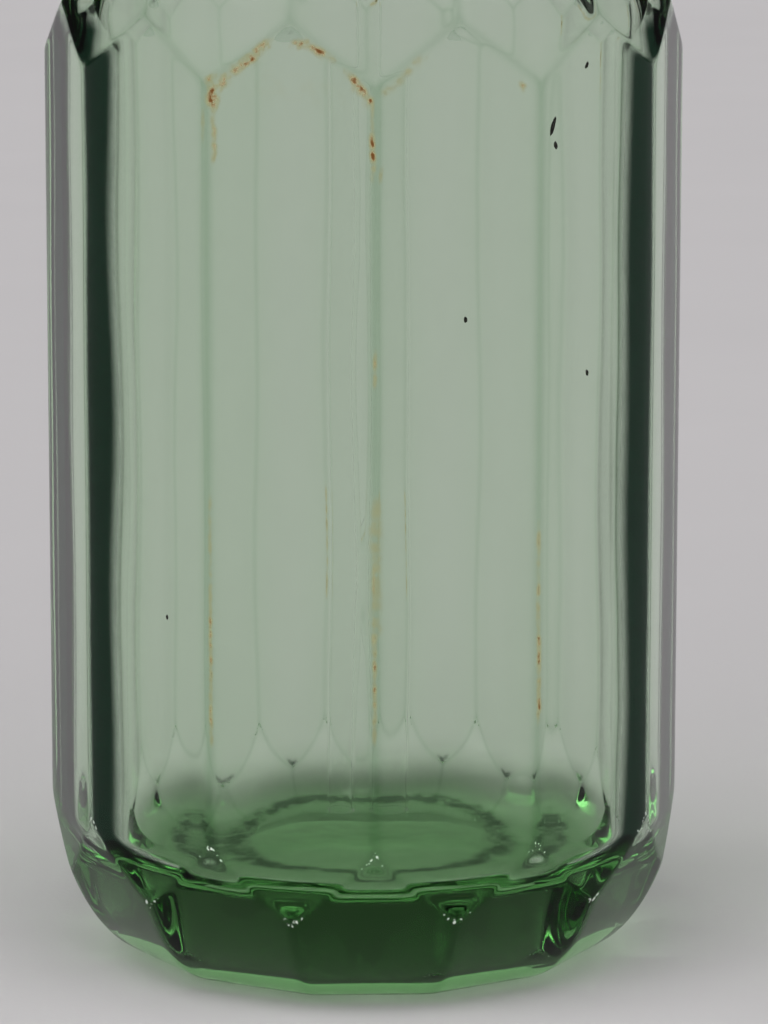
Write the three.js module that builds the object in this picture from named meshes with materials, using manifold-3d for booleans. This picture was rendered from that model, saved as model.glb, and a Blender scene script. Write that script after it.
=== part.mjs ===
// Seltzer bottle: a thick, twelve-sided glass siphon with a lever head.
// Pressing the lever down lifts a piston off its seat, and the gas in the bottle drives the water
// up the dip tube, past the seat and out of the spout. A spring under the cap closes the valve.

import * as THREE from 'three';
import { mergeVertices } from 'three/addons/utils/BufferGeometryUtils.js';
import Module from 'manifold-3d';

const wasm = await Module();
wasm.setup();

// Driving dimensions in millimetres. +Z is up, and the origin is the middle of the base.
// A point of an outline is [distance from the axis, height].

const FACETS = 12;

const GLASS = {
  radius: 50, // axis to a ridge
  foot: 29.5, // half width of the flat the bottle stands on
  heelPulls: [[42, 0], [46.9, 12.9]], // control points of the rounded heel
  heelEnd: [50.4, 28.5],
  shoulderStart: [50.4, 141.4],
  shoulderPulls: [[44, 159.5], [38.5, 177.5]], // control points of the rounded shoulder
  shoulderEnd: [26, 187.5],
  throatPulls: [[20.5, 191.9], [16.5, 194.5]], // control points of the hollow sweep into the neck
  throatEnd: [16.5, 199.5],
  neckRadius: 17.3,
  neckFoot: 193,
  lipRadius: 19.2,
  lipFoot: 211,
  lipTop: 221,
  lipEdge: 0.8,
  boreRadius: 10.5,
};

const CAVITY = {
  floor: 17.8,
  floorRadius: 20,
  cornerPulls: [[38.2, 17.8], [43.4, 18]],
  wallRadius: 43.4,
  wallFoot: 23.8,
  wallTop: 147,
  shoulderPulls: [[43.4, 154.5], [35, 172]],
  shoulderEnd: [20, 183.5],
  throatPulls: [[15, 187.5], [GLASS.boreRadius, 191]],
  throatEnd: 198,
};

// Slight hollow under the base: its rim slopes in to a small flat.
const RECESS = { radius: 27.5, rim: 24, depth: 0.3 };

const SEAL = { innerRadius: 11, outerRadius: 18, foot: 221.1, top: 223.4 };

const COLLAR = {
  innerRadius: 17.65,
  threadRadius: 20.4,
  flangeRadius: 24.2,
  flangeDip: 23.4, // radius between two of the flange's grip ridges
  ridges: 24,
  foot: 199,
  flangeTop: 203.4,
  top: 210.6,
  split: 0.3, // gap between the two halves
};

const HEAD = {
  skirtFoot: 203.8,
  skirtRadius: 23.8,
  skirtBore: 20.8,
  beadRadius: 24.8,
  beadHeight: 3.6,
  roof: 223.5, // underside that presses on the neck gasket
  shoulderFoot: 218,
  waistRadius: 14.6,
  waistFoot: 240,
  waistTop: 244,
  drumRadius: 16.6,
  drumFoot: 256,
  drumTop: 276.4,
  drumEdge: 1.1,
  neckRadius: 12.4,
  neckTop: 284,
  holderBore: 8.2,
  holderTop: 231.5,
  chamberRadius: 8.6,
  chamberTop: 245.5,
  stemBore: 3.4,
  boxFoot: 248.5,
  boxRadius: 7.3,
  boxTop: 262.5,
  leverRoomRadius: 9.3,
};

const PORT = { height: 238, bossRadius: 8.6, face: -19, socketRadius: 5.3, socketEnd: -13, bore: 2.2 };

const HOUSING = { reach: 19.2, halfWidth: 9.2, foot: 263.6, top: 276.3, corner: 5, slotHalfWidth: 3.4 };

const PIVOT = { x: 12.3, z: 270, pinRadius: 1.8, lugBore: 1.9, leverBore: 1.88 };

const PIN = { headRadius: 2.9, headFrom: 9.35, headTo: 10.7, seatRadius: 3.5 };

const HOLDER = {
  socketRadius: 8.2,
  socketBore: 6.3,
  foot: 208,
  socketTop: 218,
  flangeRadius: 9.9,
  flangeFoot: 218.8,
  flangeTop: 221.9,
  threadRadius: 7.9,
  threadTop: 231.2,
  noseRadius: 5.6,
  noseBevel: 233.2,
  seatRadius: 4.2,
  seat: 234,
  bore: 2.6,
};

const SEAT_WASHER = { innerRadius: 8.1, outerRadius: 9.9, foot: 222, top: 223.4 };
const GROMMET = { innerRadius: 3.12, outerRadius: 6.18, foot: 210.1, top: 217.8 };
const TUBE_NUT = { cornerRadius: 9.4, foot: 204.2, flangeTop: 207.8, spigotRadius: 6, top: 210, bore: 3.3 };
const TUBE = { radius: 3, bore: 2.4, foot: 22, top: 217.6 };

const PISTON = {
  cupRadius: 6.8,
  cupBore: 5.9,
  cupFoot: 235.4,
  cupRoof: 237.2,
  cupTop: 240.2,
  screwBore: 1.5,
  screwTop: 241.6,
  stemRadius: 3,
  yokeFoot: 266.4,
  yokeRadius: 6,
  yokeHalfDepth: 3.6,
  windowHalfWidth: 2.7,
  windowHalfHeight: 2.5,
  collarFoot: 274.2,
  collarTop: 275.8,
  collarRadius: 7.4,
  guideRadius: 2.6,
  guideTop: 284,
};

const DISC = { innerRadius: 1.5, outerRadius: 5.7, foot: 234.1, top: 237.1 };
const SCREW = { headRadius: 2.1, foot: 232.6, headTop: 234, shankRadius: 1.2, top: 241.3 };
const PACKING_WASHER = { innerRadius: 3.3, outerRadius: 7.1, foot: 248.7, top: 249.9 };
const PACKING = { innerRadius: 3.1, outerRadius: 7.1, foot: 250, top: 255.6 };
const GLAND = {
  bore: 3.4,
  threadRadius: 7,
  foot: 255.7,
  flangeRadius: 8.8,
  flangeFoot: 262.7,
  top: 264.6,
  slotHalfWidth: 0.8,
  slotFoot: 263.4,
};

const SPRING = { meanRadius: 5.3, wireRadius: 0.7, turns: 4, foot: 275.9, top: 288.1, leastGap: 0.4 };
const SPRING_STEPS = 8;
const SPRING_SIDES = 5;

const SPRING_WASHER = { innerRadius: 3.2, outerRadius: 7.9, foot: 288.2, top: 289.2 };
const CAP_WASHER = { innerRadius: 12.7, outerRadius: 15.9, foot: 277.6, top: 278.7 };

const CAP = {
  foot: 278.8,
  radius: 16.6,
  bandTop: 284.6,
  threadBore: 12.8,
  threadTop: 284.4,
  roomRadius: 8.3,
  roomTop: 289.4,
  domePulls: [[16.6, 291.5], [10, 294.6]],
  domeEnd: [4, 295.6],
  knobNeck: [3.2, 296.6],
  knobPulls: [[6.6, 298.2], [5.4, 302.4]],
  top: 302.4,
};

const LEVER = {
  hubRadius: 4.4,
  halfWidth: 3,
  armHalfHeight: 1.3,
  armHalfWidth: 2.4,
  tipRadius: 2.2,
  route: [[12.3, 270], [24, 272.6], [36, 269.6], [45.6, 259.6], [50.9, 246], [53.4, 236], [56.16, 229]],
  narrowShare: 0.24, // share of the handle that stays as narrow as the hub
  padHalfWidth: 6.6,
  rootHalfHeight: 3.3,
  endHalfHeight: 2.2,
  endScale: 0.45, // how far the last ring draws in
};
const LEVER_STEPS = 18;
const LEVER_SIDES = 12;

const SPOUT = {
  spigotRadius: 5,
  spigotEnd: -13.3,
  flangeFrom: -20,
  flangeTo: -22.2,
  flangeRadius: 7.8,
  pulls: [[-36, 240], [-52, 251]],
  tip: [-52, 224],
  rootRadius: 6.2,
  neckRadius: 4.2,
  lipRadius: 5.1,
  lipShare: 0.9, // share of the length at which the lip's bead starts
  bore: 1.9,
};
const SPOUT_STEPS = 14;
const SPOUT_SIDES = 12;
const SPOUT_WASHER = { innerRadius: 5.4, outerRadius: 7.8, from: -19.1, to: -19.9 };

const FINE = 32; // sides of the large turned pieces
const COARSE = 16; // sides of the small ones
const CURVE_STEPS = 6; // straight steps along each curve of an outline
const MOULD_STEPS = 12; // and along those of the bottle's outside, which has few sides
const OVERRUN = 1; // how far a cut runs past the surface that it opens
const MERGE_DISTANCE = 1e-4;

const COLOURS = {
  bottleGlass: { color: 0x9cb29c, roughness: 0.06, metalness: 0, transparent: true, opacity: 0.55 },
  tubeGlass: { color: 0xcfdccf, roughness: 0.05, metalness: 0, transparent: true, opacity: 0.4 },
  castMetal: { color: 0x9a9890, roughness: 0.42, metalness: 1 },
  brass: { color: 0xb08d4a, roughness: 0.38, metalness: 1 },
  spring: { color: 0xa8a8a4, roughness: 0.3, metalness: 1 },
  rubber: { color: 0x2c2a28, roughness: 0.8, metalness: 0 },
  fibre: { color: 0x7a3b2c, roughness: 0.85, metalness: 0 },
  leather: { color: 0x6b4a30, roughness: 0.75, metalness: 0 },
};

// Solids

function toSolid(geometry) {
  const bare = geometry.clone();
  bare.deleteAttribute('normal');
  bare.deleteAttribute('uv');
  const merged = mergeVertices(bare, MERGE_DISTANCE);
  const corners = merged.index.array;
  const kept = [];
  for (let i = 0; i < corners.length; i += 3) {
    const [a, b, c] = corners.slice(i, i + 3);
    if (a !== b && b !== c && c !== a) kept.push(a, b, c);
  }
  return new wasm.Manifold(new wasm.Mesh({
    numProp: 3,
    vertProperties: new Float32Array(merged.attributes.position.array),
    triVerts: new Uint32Array(kept),
  }));
}

function toGeometry(solid) {
  const mesh = solid.getMesh();
  const geometry = new THREE.BufferGeometry();
  geometry.setAttribute('position', new THREE.BufferAttribute(mesh.vertProperties, 3));
  geometry.setIndex(new THREE.BufferAttribute(mesh.triVerts, 1));
  geometry.computeVertexNormals();
  return geometry;
}

// A body turned about Z from an outline that starts and ends on the axis, or closes on itself.
function turned(outline, sides = COARSE, startAngle = 0) {
  const points = outline.getPoints(CURVE_STEPS);
  return toSolid(new THREE.LatheGeometry(points, sides, startAngle).rotateX(Math.PI / 2));
}

function outlineOf(points) {
  const outline = new THREE.Path();
  outline.moveTo(...points[0]);
  for (const point of points.slice(1)) outline.lineTo(...point);
  return outline;
}

function curveTo(outline, pulls, end) {
  outline.bezierCurveTo(...pulls[0], ...pulls[1], ...end);
}

function ring({ innerRadius, outerRadius, foot, top }, sides = COARSE) {
  return turned(outlineOf([
    [innerRadius, foot],
    [outerRadius, foot],
    [outerRadius, top],
    [innerRadius, top],
    [innerRadius, foot],
  ]), sides);
}

function disc(radius, foot, top, sides = COARSE) {
  return turned(outlineOf([[0, foot], [radius, foot], [radius, top], [0, top]]), sides);
}

function box(low, high) {
  const size = high.map((value, i) => value - low[i]);
  const middle = high.map((value, i) => (value + low[i]) / 2);
  return toSolid(new THREE.BoxGeometry(...size).translate(...middle));
}

// A round bar along X at height z, and one along Y through the point (x, z).
function barAlongX(radius, from, to, z, sides = COARSE) {
  const bar = new THREE.CylinderGeometry(radius, radius, Math.abs(to - from), sides).rotateZ(Math.PI / 2);
  return toSolid(bar.translate((from + to) / 2, 0, z));
}

function barAlongY(radius, from, to, x, z, sides = COARSE) {
  const bar = new THREE.CylinderGeometry(radius, radius, to - from, sides);
  return toSolid(bar.translate(x, (from + to) / 2, z));
}

// A skin over a row of rings of equal count, closed at both ends by a fan about the ring's middle.
function loft(rings) {
  const sides = rings[0].length;
  const points = rings.flat();
  const faces = [];
  for (let i = 0; i + 1 < rings.length; i += 1) {
    for (let j = 0; j < sides; j += 1) {
      const a = i * sides + j;
      const b = i * sides + ((j + 1) % sides);
      faces.push(a, a + sides, b, b, a + sides, b + sides);
    }
  }
  for (const [first, flip] of [[0, false], [(rings.length - 1) * sides, true]]) {
    const middle = new THREE.Vector3();
    for (const point of points.slice(first, first + sides)) middle.addScaledVector(point, 1 / sides);
    const hub = points.push(middle) - 1;
    for (let j = 0; j < sides; j += 1) {
      const a = first + j;
      const b = first + ((j + 1) % sides);
      faces.push(...(flip ? [b, a, hub] : [a, b, hub]));
    }
  }
  const geometry = new THREE.BufferGeometry().setFromPoints(points);
  geometry.setIndex(faces);
  return toSolid(geometry);
}

// Rings of an oval section along a curve in the XZ plane. halfSizes gives the half width along Y and
// the half height square to the curve at each share of its length.
function ovalRings(curve, steps, sides, halfSizes) {
  const rings = [];
  for (let i = 0; i <= steps; i += 1) {
    const share = i / steps;
    const middle = curve.getPointAt(share);
    const along = curve.getTangentAt(share);
    const across = new THREE.Vector3(-along.z, 0, along.x);
    const [halfWidth, halfHeight] = halfSizes(share);
    const section = [];
    for (let j = 0; j < sides; j += 1) {
      const angle = (2 * Math.PI * j) / sides;
      const point = middle.clone().addScaledVector(across, halfHeight * Math.cos(angle));
      point.y += halfWidth * Math.sin(angle);
      section.push(point);
    }
    rings.push(section);
  }
  return rings;
}

function inXZ([x, z]) {
  return new THREE.Vector3(x, 0, z);
}

// The bottle

// The mould's second set of facets, half a facet round from the sides: it rounds off the heel and the
// shoulder, and where it meets the sides it leaves a zigzag of pointed arches.
function heelAndShoulder() {
  const outline = outlineOf([[0, 0], [GLASS.foot, 0]]);
  curveTo(outline, GLASS.heelPulls, GLASS.heelEnd);
  outline.lineTo(...GLASS.shoulderStart);
  curveTo(outline, GLASS.shoulderPulls, GLASS.shoulderEnd);
  curveTo(outline, GLASS.throatPulls, GLASS.throatEnd);
  outline.lineTo(0, GLASS.throatEnd[1]);
  const halfFacet = Math.PI / FACETS;
  const points = outline.getPoints(MOULD_STEPS);
  for (const point of points) point.x /= Math.cos(halfFacet);
  return toSolid(new THREE.LatheGeometry(points, FACETS, halfFacet).rotateX(Math.PI / 2));
}

function neckAndLip() {
  return turned(outlineOf([
    [0, GLASS.neckFoot],
    [GLASS.boreRadius + OVERRUN, GLASS.neckFoot],
    [GLASS.neckRadius, GLASS.throatEnd[1] - OVERRUN],
    [GLASS.neckRadius, GLASS.lipFoot],
    [GLASS.lipRadius, GLASS.lipFoot],
    [GLASS.lipRadius, GLASS.lipTop - GLASS.lipEdge],
    [GLASS.lipRadius - GLASS.lipEdge, GLASS.lipTop],
    [0, GLASS.lipTop],
  ]), FINE);
}

function bottleCavity() {
  const outline = outlineOf([[0, CAVITY.floor], [CAVITY.floorRadius, CAVITY.floor]]);
  curveTo(outline, CAVITY.cornerPulls, [CAVITY.wallRadius, CAVITY.wallFoot]);
  outline.lineTo(CAVITY.wallRadius, CAVITY.wallTop);
  curveTo(outline, CAVITY.shoulderPulls, CAVITY.shoulderEnd);
  curveTo(outline, CAVITY.throatPulls, [GLASS.boreRadius, CAVITY.throatEnd]);
  outline.lineTo(GLASS.boreRadius, GLASS.lipTop + OVERRUN);
  outline.lineTo(0, GLASS.lipTop + OVERRUN);
  return turned(outline, FINE);
}

function baseRecess() {
  return turned(outlineOf([
    [0, -OVERRUN],
    [RECESS.radius, -OVERRUN],
    [RECESS.radius, 0],
    [RECESS.radius - RECESS.rim, RECESS.depth],
    [0, RECESS.depth],
  ]), FINE);
}

function glassBottle() {
  const prism = new THREE.CylinderGeometry(GLASS.radius, GLASS.radius, GLASS.lipTop, FACETS);
  const sides = toSolid(prism.rotateX(Math.PI / 2).translate(0, 0, GLASS.lipTop / 2));
  return sides
    .intersect(heelAndShoulder())
    .add(neckAndLip())
    .subtract(bottleCavity())
    .subtract(baseRecess());
}

// The ring that grips the glass lip, as two halves

function collarRing() {
  const flange = new THREE.Shape();
  const corners = 2 * COLLAR.ridges;
  for (let i = 0; i < corners; i += 1) {
    const angle = (2 * Math.PI * i) / corners;
    const radius = i % 2 ? COLLAR.flangeDip : COLLAR.flangeRadius;
    const method = i ? 'lineTo' : 'moveTo';
    flange[method](radius * Math.cos(angle), radius * Math.sin(angle));
  }
  const depth = COLLAR.flangeTop - COLLAR.foot;
  const flangeSolid = toSolid(
    new THREE.ExtrudeGeometry(flange, { depth, bevelEnabled: false }).translate(0, 0, COLLAR.foot),
  );
  const thread = disc(COLLAR.threadRadius, COLLAR.foot + OVERRUN, COLLAR.top, FINE);
  const bore = disc(COLLAR.innerRadius, COLLAR.foot - OVERRUN, COLLAR.top + OVERRUN, FINE);
  return flangeSolid.add(thread).subtract(bore);
}

function collarHalf(side) {
  const reach = COLLAR.flangeRadius + OVERRUN;
  const near = (side * COLLAR.split) / 2;
  const far = side * reach;
  const half = box(
    [-reach, Math.min(near, far), COLLAR.foot - OVERRUN],
    [reach, Math.max(near, far), COLLAR.top + OVERRUN],
  );
  return collarRing().intersect(half);
}

// The head

function headOutside() {
  const beadMiddle = HEAD.beadHeight / 2;
  const outline = outlineOf([[0, HEAD.skirtFoot], [HEAD.skirtRadius, HEAD.skirtFoot]]);
  outline.quadraticCurveTo(
    2 * HEAD.beadRadius - HEAD.skirtRadius,
    HEAD.skirtFoot + beadMiddle,
    HEAD.skirtRadius,
    HEAD.skirtFoot + HEAD.beadHeight,
  );
  outline.lineTo(HEAD.skirtRadius, HEAD.shoulderFoot);
  outline.bezierCurveTo(
    HEAD.skirtRadius,
    (HEAD.shoulderFoot + HEAD.waistFoot) / 2,
    HEAD.waistRadius,
    (HEAD.shoulderFoot + HEAD.waistFoot) / 2,
    HEAD.waistRadius,
    HEAD.waistFoot,
  );
  outline.lineTo(HEAD.waistRadius, HEAD.waistTop);
  outline.bezierCurveTo(
    HEAD.waistRadius,
    (HEAD.waistTop + HEAD.drumFoot) / 2,
    HEAD.drumRadius,
    (HEAD.waistTop + HEAD.drumFoot) / 2,
    HEAD.drumRadius,
    HEAD.drumFoot,
  );
  outline.lineTo(HEAD.drumRadius, HEAD.drumTop);
  outline.lineTo(HEAD.drumRadius - HEAD.drumEdge, HEAD.drumTop + HEAD.drumEdge);
  outline.lineTo(HEAD.neckRadius, HEAD.drumTop + HEAD.drumEdge);
  outline.lineTo(HEAD.neckRadius, HEAD.neckTop);
  outline.lineTo(0, HEAD.neckTop);
  return turned(outline, FINE);
}

// Every room along the head's axis: skirt, tube holder, valve chamber, stem, packing box, lever room.
function headInside() {
  return turned(outlineOf([
    [0, HEAD.skirtFoot - OVERRUN],
    [HEAD.skirtBore, HEAD.skirtFoot - OVERRUN],
    [HEAD.skirtBore, HEAD.roof],
    [HEAD.holderBore, HEAD.roof],
    [HEAD.holderBore, HEAD.holderTop],
    [HEAD.chamberRadius, HEAD.holderTop],
    [HEAD.chamberRadius, HEAD.chamberTop],
    [HEAD.stemBore, HEAD.chamberTop],
    [HEAD.stemBore, HEAD.boxFoot],
    [HEAD.boxRadius, HEAD.boxFoot],
    [HEAD.boxRadius, HEAD.boxTop],
    [HEAD.leverRoomRadius, HEAD.boxTop],
    [HEAD.leverRoomRadius, HEAD.neckTop + OVERRUN],
    [0, HEAD.neckTop + OVERRUN],
  ]), FINE);
}

// The block round the lever's hinge, with its outer corners rounded.
function leverHousing() {
  const { reach, halfWidth, foot, top, corner } = HOUSING;
  const side = new THREE.Shape();
  side.moveTo(0, foot);
  side.lineTo(reach - corner, foot);
  side.absarc(reach - corner, foot + corner, corner, -Math.PI / 2, 0, false);
  side.absarc(reach - corner, top - corner, corner, 0, Math.PI / 2, false);
  side.lineTo(0, top);
  const options = { depth: 2 * halfWidth, bevelEnabled: false, curveSegments: CURVE_STEPS };
  return toSolid(new THREE.ExtrudeGeometry(side, options).rotateX(Math.PI / 2).translate(0, halfWidth, 0));
}

function headBody() {
  const slot = box(
    [0, -HOUSING.slotHalfWidth, HOUSING.foot - OVERRUN],
    [HOUSING.reach + OVERRUN, HOUSING.slotHalfWidth, HOUSING.top + OVERRUN / 4],
  );
  const beyond = HEAD.drumRadius + OVERRUN;
  const pinHole = barAlongY(PIVOT.lugBore, -beyond, beyond, PIVOT.x, PIVOT.z);
  const pinSeats = barAlongY(PIN.seatRadius, -beyond, -HOUSING.halfWidth, PIVOT.x, PIVOT.z)
    .add(barAlongY(PIN.seatRadius, HOUSING.halfWidth, beyond, PIVOT.x, PIVOT.z));
  return headOutside()
    .add(barAlongX(PORT.bossRadius, PORT.face, -HEAD.chamberRadius, PORT.height))
    .add(leverHousing())
    .subtract(headInside())
    .subtract(slot)
    .subtract(pinHole)
    .subtract(pinSeats)
    .subtract(barAlongX(PORT.socketRadius, PORT.face - OVERRUN, PORT.socketEnd, PORT.height))
    .subtract(barAlongX(PORT.bore, PORT.socketEnd - OVERRUN, 0, PORT.height));
}

function topCap() {
  const outline = outlineOf([
    [CAP.threadBore, CAP.foot],
    [CAP.radius, CAP.foot],
    [CAP.radius, CAP.bandTop],
  ]);
  curveTo(outline, CAP.domePulls, CAP.domeEnd);
  outline.lineTo(...CAP.knobNeck);
  curveTo(outline, CAP.knobPulls, [0, CAP.top]);
  outline.lineTo(0, CAP.roomTop);
  outline.lineTo(CAP.roomRadius, CAP.roomTop);
  outline.lineTo(CAP.roomRadius, CAP.threadTop);
  outline.lineTo(CAP.threadBore, CAP.threadTop);
  outline.lineTo(CAP.threadBore, CAP.foot);
  return turned(outline, FINE);
}

// The spout

function spout() {
  const curve = new THREE.CubicBezierCurve3(
    inXZ([SPOUT.flangeTo + OVERRUN, PORT.height]),
    ...SPOUT.pulls.map(inXZ),
    inXZ(SPOUT.tip),
  );
  const outerRadius = (share) => {
    if (share >= SPOUT.lipShare) return SPOUT.lipRadius;
    return THREE.MathUtils.lerp(SPOUT.rootRadius, SPOUT.neckRadius, share / SPOUT.lipShare);
  };
  const round = (share) => [outerRadius(share), outerRadius(share)];
  const pipe = loft(ovalRings(curve, SPOUT_STEPS, SPOUT_SIDES, round));
  const way = new THREE.CubicBezierCurve3(
    inXZ([SPOUT.flangeTo + OVERRUN, PORT.height]),
    ...SPOUT.pulls.map(inXZ),
    inXZ([SPOUT.tip[0], SPOUT.tip[1] - OVERRUN]),
  );
  const bore = loft(ovalRings(way, SPOUT_STEPS, COARSE / 2, () => [SPOUT.bore, SPOUT.bore]));
  return pipe
    .add(barAlongX(SPOUT.flangeRadius, SPOUT.flangeTo, SPOUT.flangeFrom, PORT.height))
    .add(barAlongX(SPOUT.spigotRadius, SPOUT.flangeFrom - OVERRUN, SPOUT.spigotEnd, PORT.height))
    .subtract(bore)
    .subtract(barAlongX(SPOUT.bore, SPOUT.flangeTo, SPOUT.spigotEnd + OVERRUN, PORT.height, COARSE / 2));
}

function spoutGasket() {
  const { innerRadius, outerRadius, from, to } = SPOUT_WASHER;
  return barAlongX(outerRadius, to, from, PORT.height)
    .subtract(barAlongX(innerRadius, to - OVERRUN, from + OVERRUN, PORT.height));
}

// The dip tube and what holds it

function tubeHolder() {
  return turned(outlineOf([
    [HOLDER.socketBore, HOLDER.foot],
    [HOLDER.socketRadius, HOLDER.foot],
    [HOLDER.socketRadius, HOLDER.flangeFoot],
    [HOLDER.flangeRadius, HOLDER.flangeFoot],
    [HOLDER.flangeRadius, HOLDER.flangeTop],
    [HOLDER.threadRadius, HOLDER.flangeTop],
    [HOLDER.threadRadius, HOLDER.threadTop],
    [HOLDER.noseRadius, HOLDER.threadTop],
    [HOLDER.noseRadius, HOLDER.noseBevel],
    [HOLDER.seatRadius, HOLDER.seat],
    [HOLDER.bore, HOLDER.seat],
    [HOLDER.bore, HOLDER.socketTop],
    [HOLDER.socketBore, HOLDER.socketTop],
    [HOLDER.socketBore, HOLDER.foot],
  ]));
}

function tubeNut() {
  const { cornerRadius, foot, flangeTop, spigotRadius, top, bore } = TUBE_NUT;
  return disc(cornerRadius, foot, flangeTop, 6)
    .add(disc(spigotRadius, flangeTop - OVERRUN, top))
    .subtract(disc(bore, foot - OVERRUN, top + OVERRUN));
}

function dipTube() {
  return ring({ innerRadius: TUBE.bore, outerRadius: TUBE.radius, foot: TUBE.foot, top: TUBE.top });
}

// The valve

function piston() {
  const yokeMiddle = PIVOT.z;
  const turnedBody = turned(outlineOf([
    [0, PISTON.screwTop],
    [PISTON.screwBore, PISTON.screwTop],
    [PISTON.screwBore, PISTON.cupRoof],
    [PISTON.cupBore, PISTON.cupRoof],
    [PISTON.cupBore, PISTON.cupFoot],
    [PISTON.cupRadius, PISTON.cupFoot],
    [PISTON.cupRadius, PISTON.cupTop],
    [PISTON.stemRadius, PISTON.cupTop],
    [PISTON.stemRadius, PISTON.yokeFoot + OVERRUN],
    [0, PISTON.yokeFoot + OVERRUN],
  ]));
  const yoke = disc(PISTON.yokeRadius, PISTON.yokeFoot, PISTON.collarFoot + OVERRUN / 2).intersect(box(
    [-PISTON.yokeHalfDepth, -PISTON.yokeRadius, PISTON.yokeFoot],
    [PISTON.yokeHalfDepth, PISTON.yokeRadius, PISTON.collarTop],
  ));
  const window = box(
    [-PISTON.yokeRadius, -PISTON.windowHalfWidth, yokeMiddle - PISTON.windowHalfHeight],
    [PISTON.yokeRadius, PISTON.windowHalfWidth, yokeMiddle + PISTON.windowHalfHeight],
  );
  return turnedBody
    .add(yoke)
    .subtract(window)
    .add(disc(PISTON.collarRadius, PISTON.collarFoot, PISTON.collarTop))
    .add(disc(PISTON.guideRadius, PISTON.collarTop - OVERRUN, PISTON.guideTop));
}

function valveScrew() {
  return disc(SCREW.headRadius, SCREW.foot, SCREW.headTop, COARSE / 2)
    .add(disc(SCREW.shankRadius, SCREW.headTop - OVERRUN, SCREW.top, COARSE / 2));
}

function glandNut() {
  const slot = box(
    [-GLAND.flangeRadius - OVERRUN, -GLAND.slotHalfWidth, GLAND.slotFoot],
    [GLAND.flangeRadius + OVERRUN, GLAND.slotHalfWidth, GLAND.top + OVERRUN],
  );
  return disc(GLAND.threadRadius, GLAND.foot, GLAND.top)
    .add(disc(GLAND.flangeRadius, GLAND.flangeFoot, GLAND.top))
    .subtract(disc(GLAND.bore, GLAND.foot - OVERRUN, GLAND.top + OVERRUN))
    .subtract(slot);
}

// Middle line of the spring's wire.
class SpringLine extends THREE.Curve {
  getPoint(share, target = new THREE.Vector3()) {
    const angle = 2 * Math.PI * SPRING.turns * share;
    const low = SPRING.foot + SPRING.wireRadius;
    const high = SPRING.top - SPRING.wireRadius;
    return target.set(
      SPRING.meanRadius * Math.cos(angle),
      SPRING.meanRadius * Math.sin(angle),
      THREE.MathUtils.lerp(low, high, share),
    );
  }
}

// Least clear distance between two turns of the spring, measured on points half a turn apart or more.
function springGap(line) {
  const stepsPerTurn = 48;
  const points = line.getPoints(SPRING.turns * stepsPerTurn);
  let least = Infinity;
  for (let i = 0; i < points.length; i += 1) {
    for (let j = i + stepsPerTurn / 2; j < points.length; j += 1) {
      least = Math.min(least, points[i].distanceTo(points[j]));
    }
  }
  return least - 2 * SPRING.wireRadius;
}

function pistonSpring() {
  const line = new SpringLine();
  const gap = springGap(line);
  console.log(`spring: least gap between turns ${gap.toFixed(2)} mm, wanted over ${SPRING.leastGap} mm`);
  const wire = new THREE.Shape();
  for (let i = 0; i < SPRING_SIDES; i += 1) {
    const angle = (2 * Math.PI * i) / SPRING_SIDES;
    const method = i ? 'lineTo' : 'moveTo';
    wire[method](SPRING.wireRadius * Math.cos(angle), SPRING.wireRadius * Math.sin(angle));
  }
  const steps = SPRING.turns * SPRING_STEPS;
  return toSolid(new THREE.ExtrudeGeometry(wire, { steps, extrudePath: line, bevelEnabled: false }));
}

// The lever

function leverHandle() {
  const curve = new THREE.CatmullRomCurve3(LEVER.route.map(inXZ));
  const halfSizes = (share) => {
    const spread = THREE.MathUtils.smoothstep(share, LEVER.narrowShare, 1);
    const halfWidth = THREE.MathUtils.lerp(LEVER.halfWidth, LEVER.padHalfWidth, spread);
    const halfHeight = THREE.MathUtils.lerp(LEVER.rootHalfHeight, LEVER.endHalfHeight, spread);
    const draw = share < 1 ? 1 : LEVER.endScale;
    return [halfWidth * draw, halfHeight * draw];
  };
  return loft(ovalRings(curve, LEVER_STEPS, LEVER_SIDES, halfSizes));
}

function lever() {
  const arm = box(
    [0, -LEVER.armHalfWidth, PIVOT.z - LEVER.armHalfHeight],
    [PIVOT.x, LEVER.armHalfWidth, PIVOT.z + LEVER.armHalfHeight],
  );
  return leverHandle()
    .add(barAlongY(LEVER.hubRadius, -LEVER.halfWidth, LEVER.halfWidth, PIVOT.x, PIVOT.z))
    .add(arm)
    .add(barAlongY(LEVER.tipRadius, -LEVER.armHalfWidth, LEVER.armHalfWidth, 0, PIVOT.z))
    .subtract(barAlongY(
      PIVOT.leverBore,
      -LEVER.halfWidth - OVERRUN,
      LEVER.halfWidth + OVERRUN,
      PIVOT.x,
      PIVOT.z,
    ));
}

function leverPin() {
  return barAlongY(PIVOT.pinRadius, -PIN.headTo, PIN.headTo, PIVOT.x, PIVOT.z)
    .add(barAlongY(PIN.headRadius, -PIN.headTo, -PIN.headFrom, PIVOT.x, PIVOT.z))
    .add(barAlongY(PIN.headRadius, PIN.headFrom, PIN.headTo, PIVOT.x, PIVOT.z));
}

// The assembly

const bottle = new THREE.Group();

function place(name, solid, look) {
  const mesh = new THREE.Mesh(toGeometry(solid), new THREE.MeshStandardMaterial(look));
  mesh.name = name;
  bottle.add(mesh);
}

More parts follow.
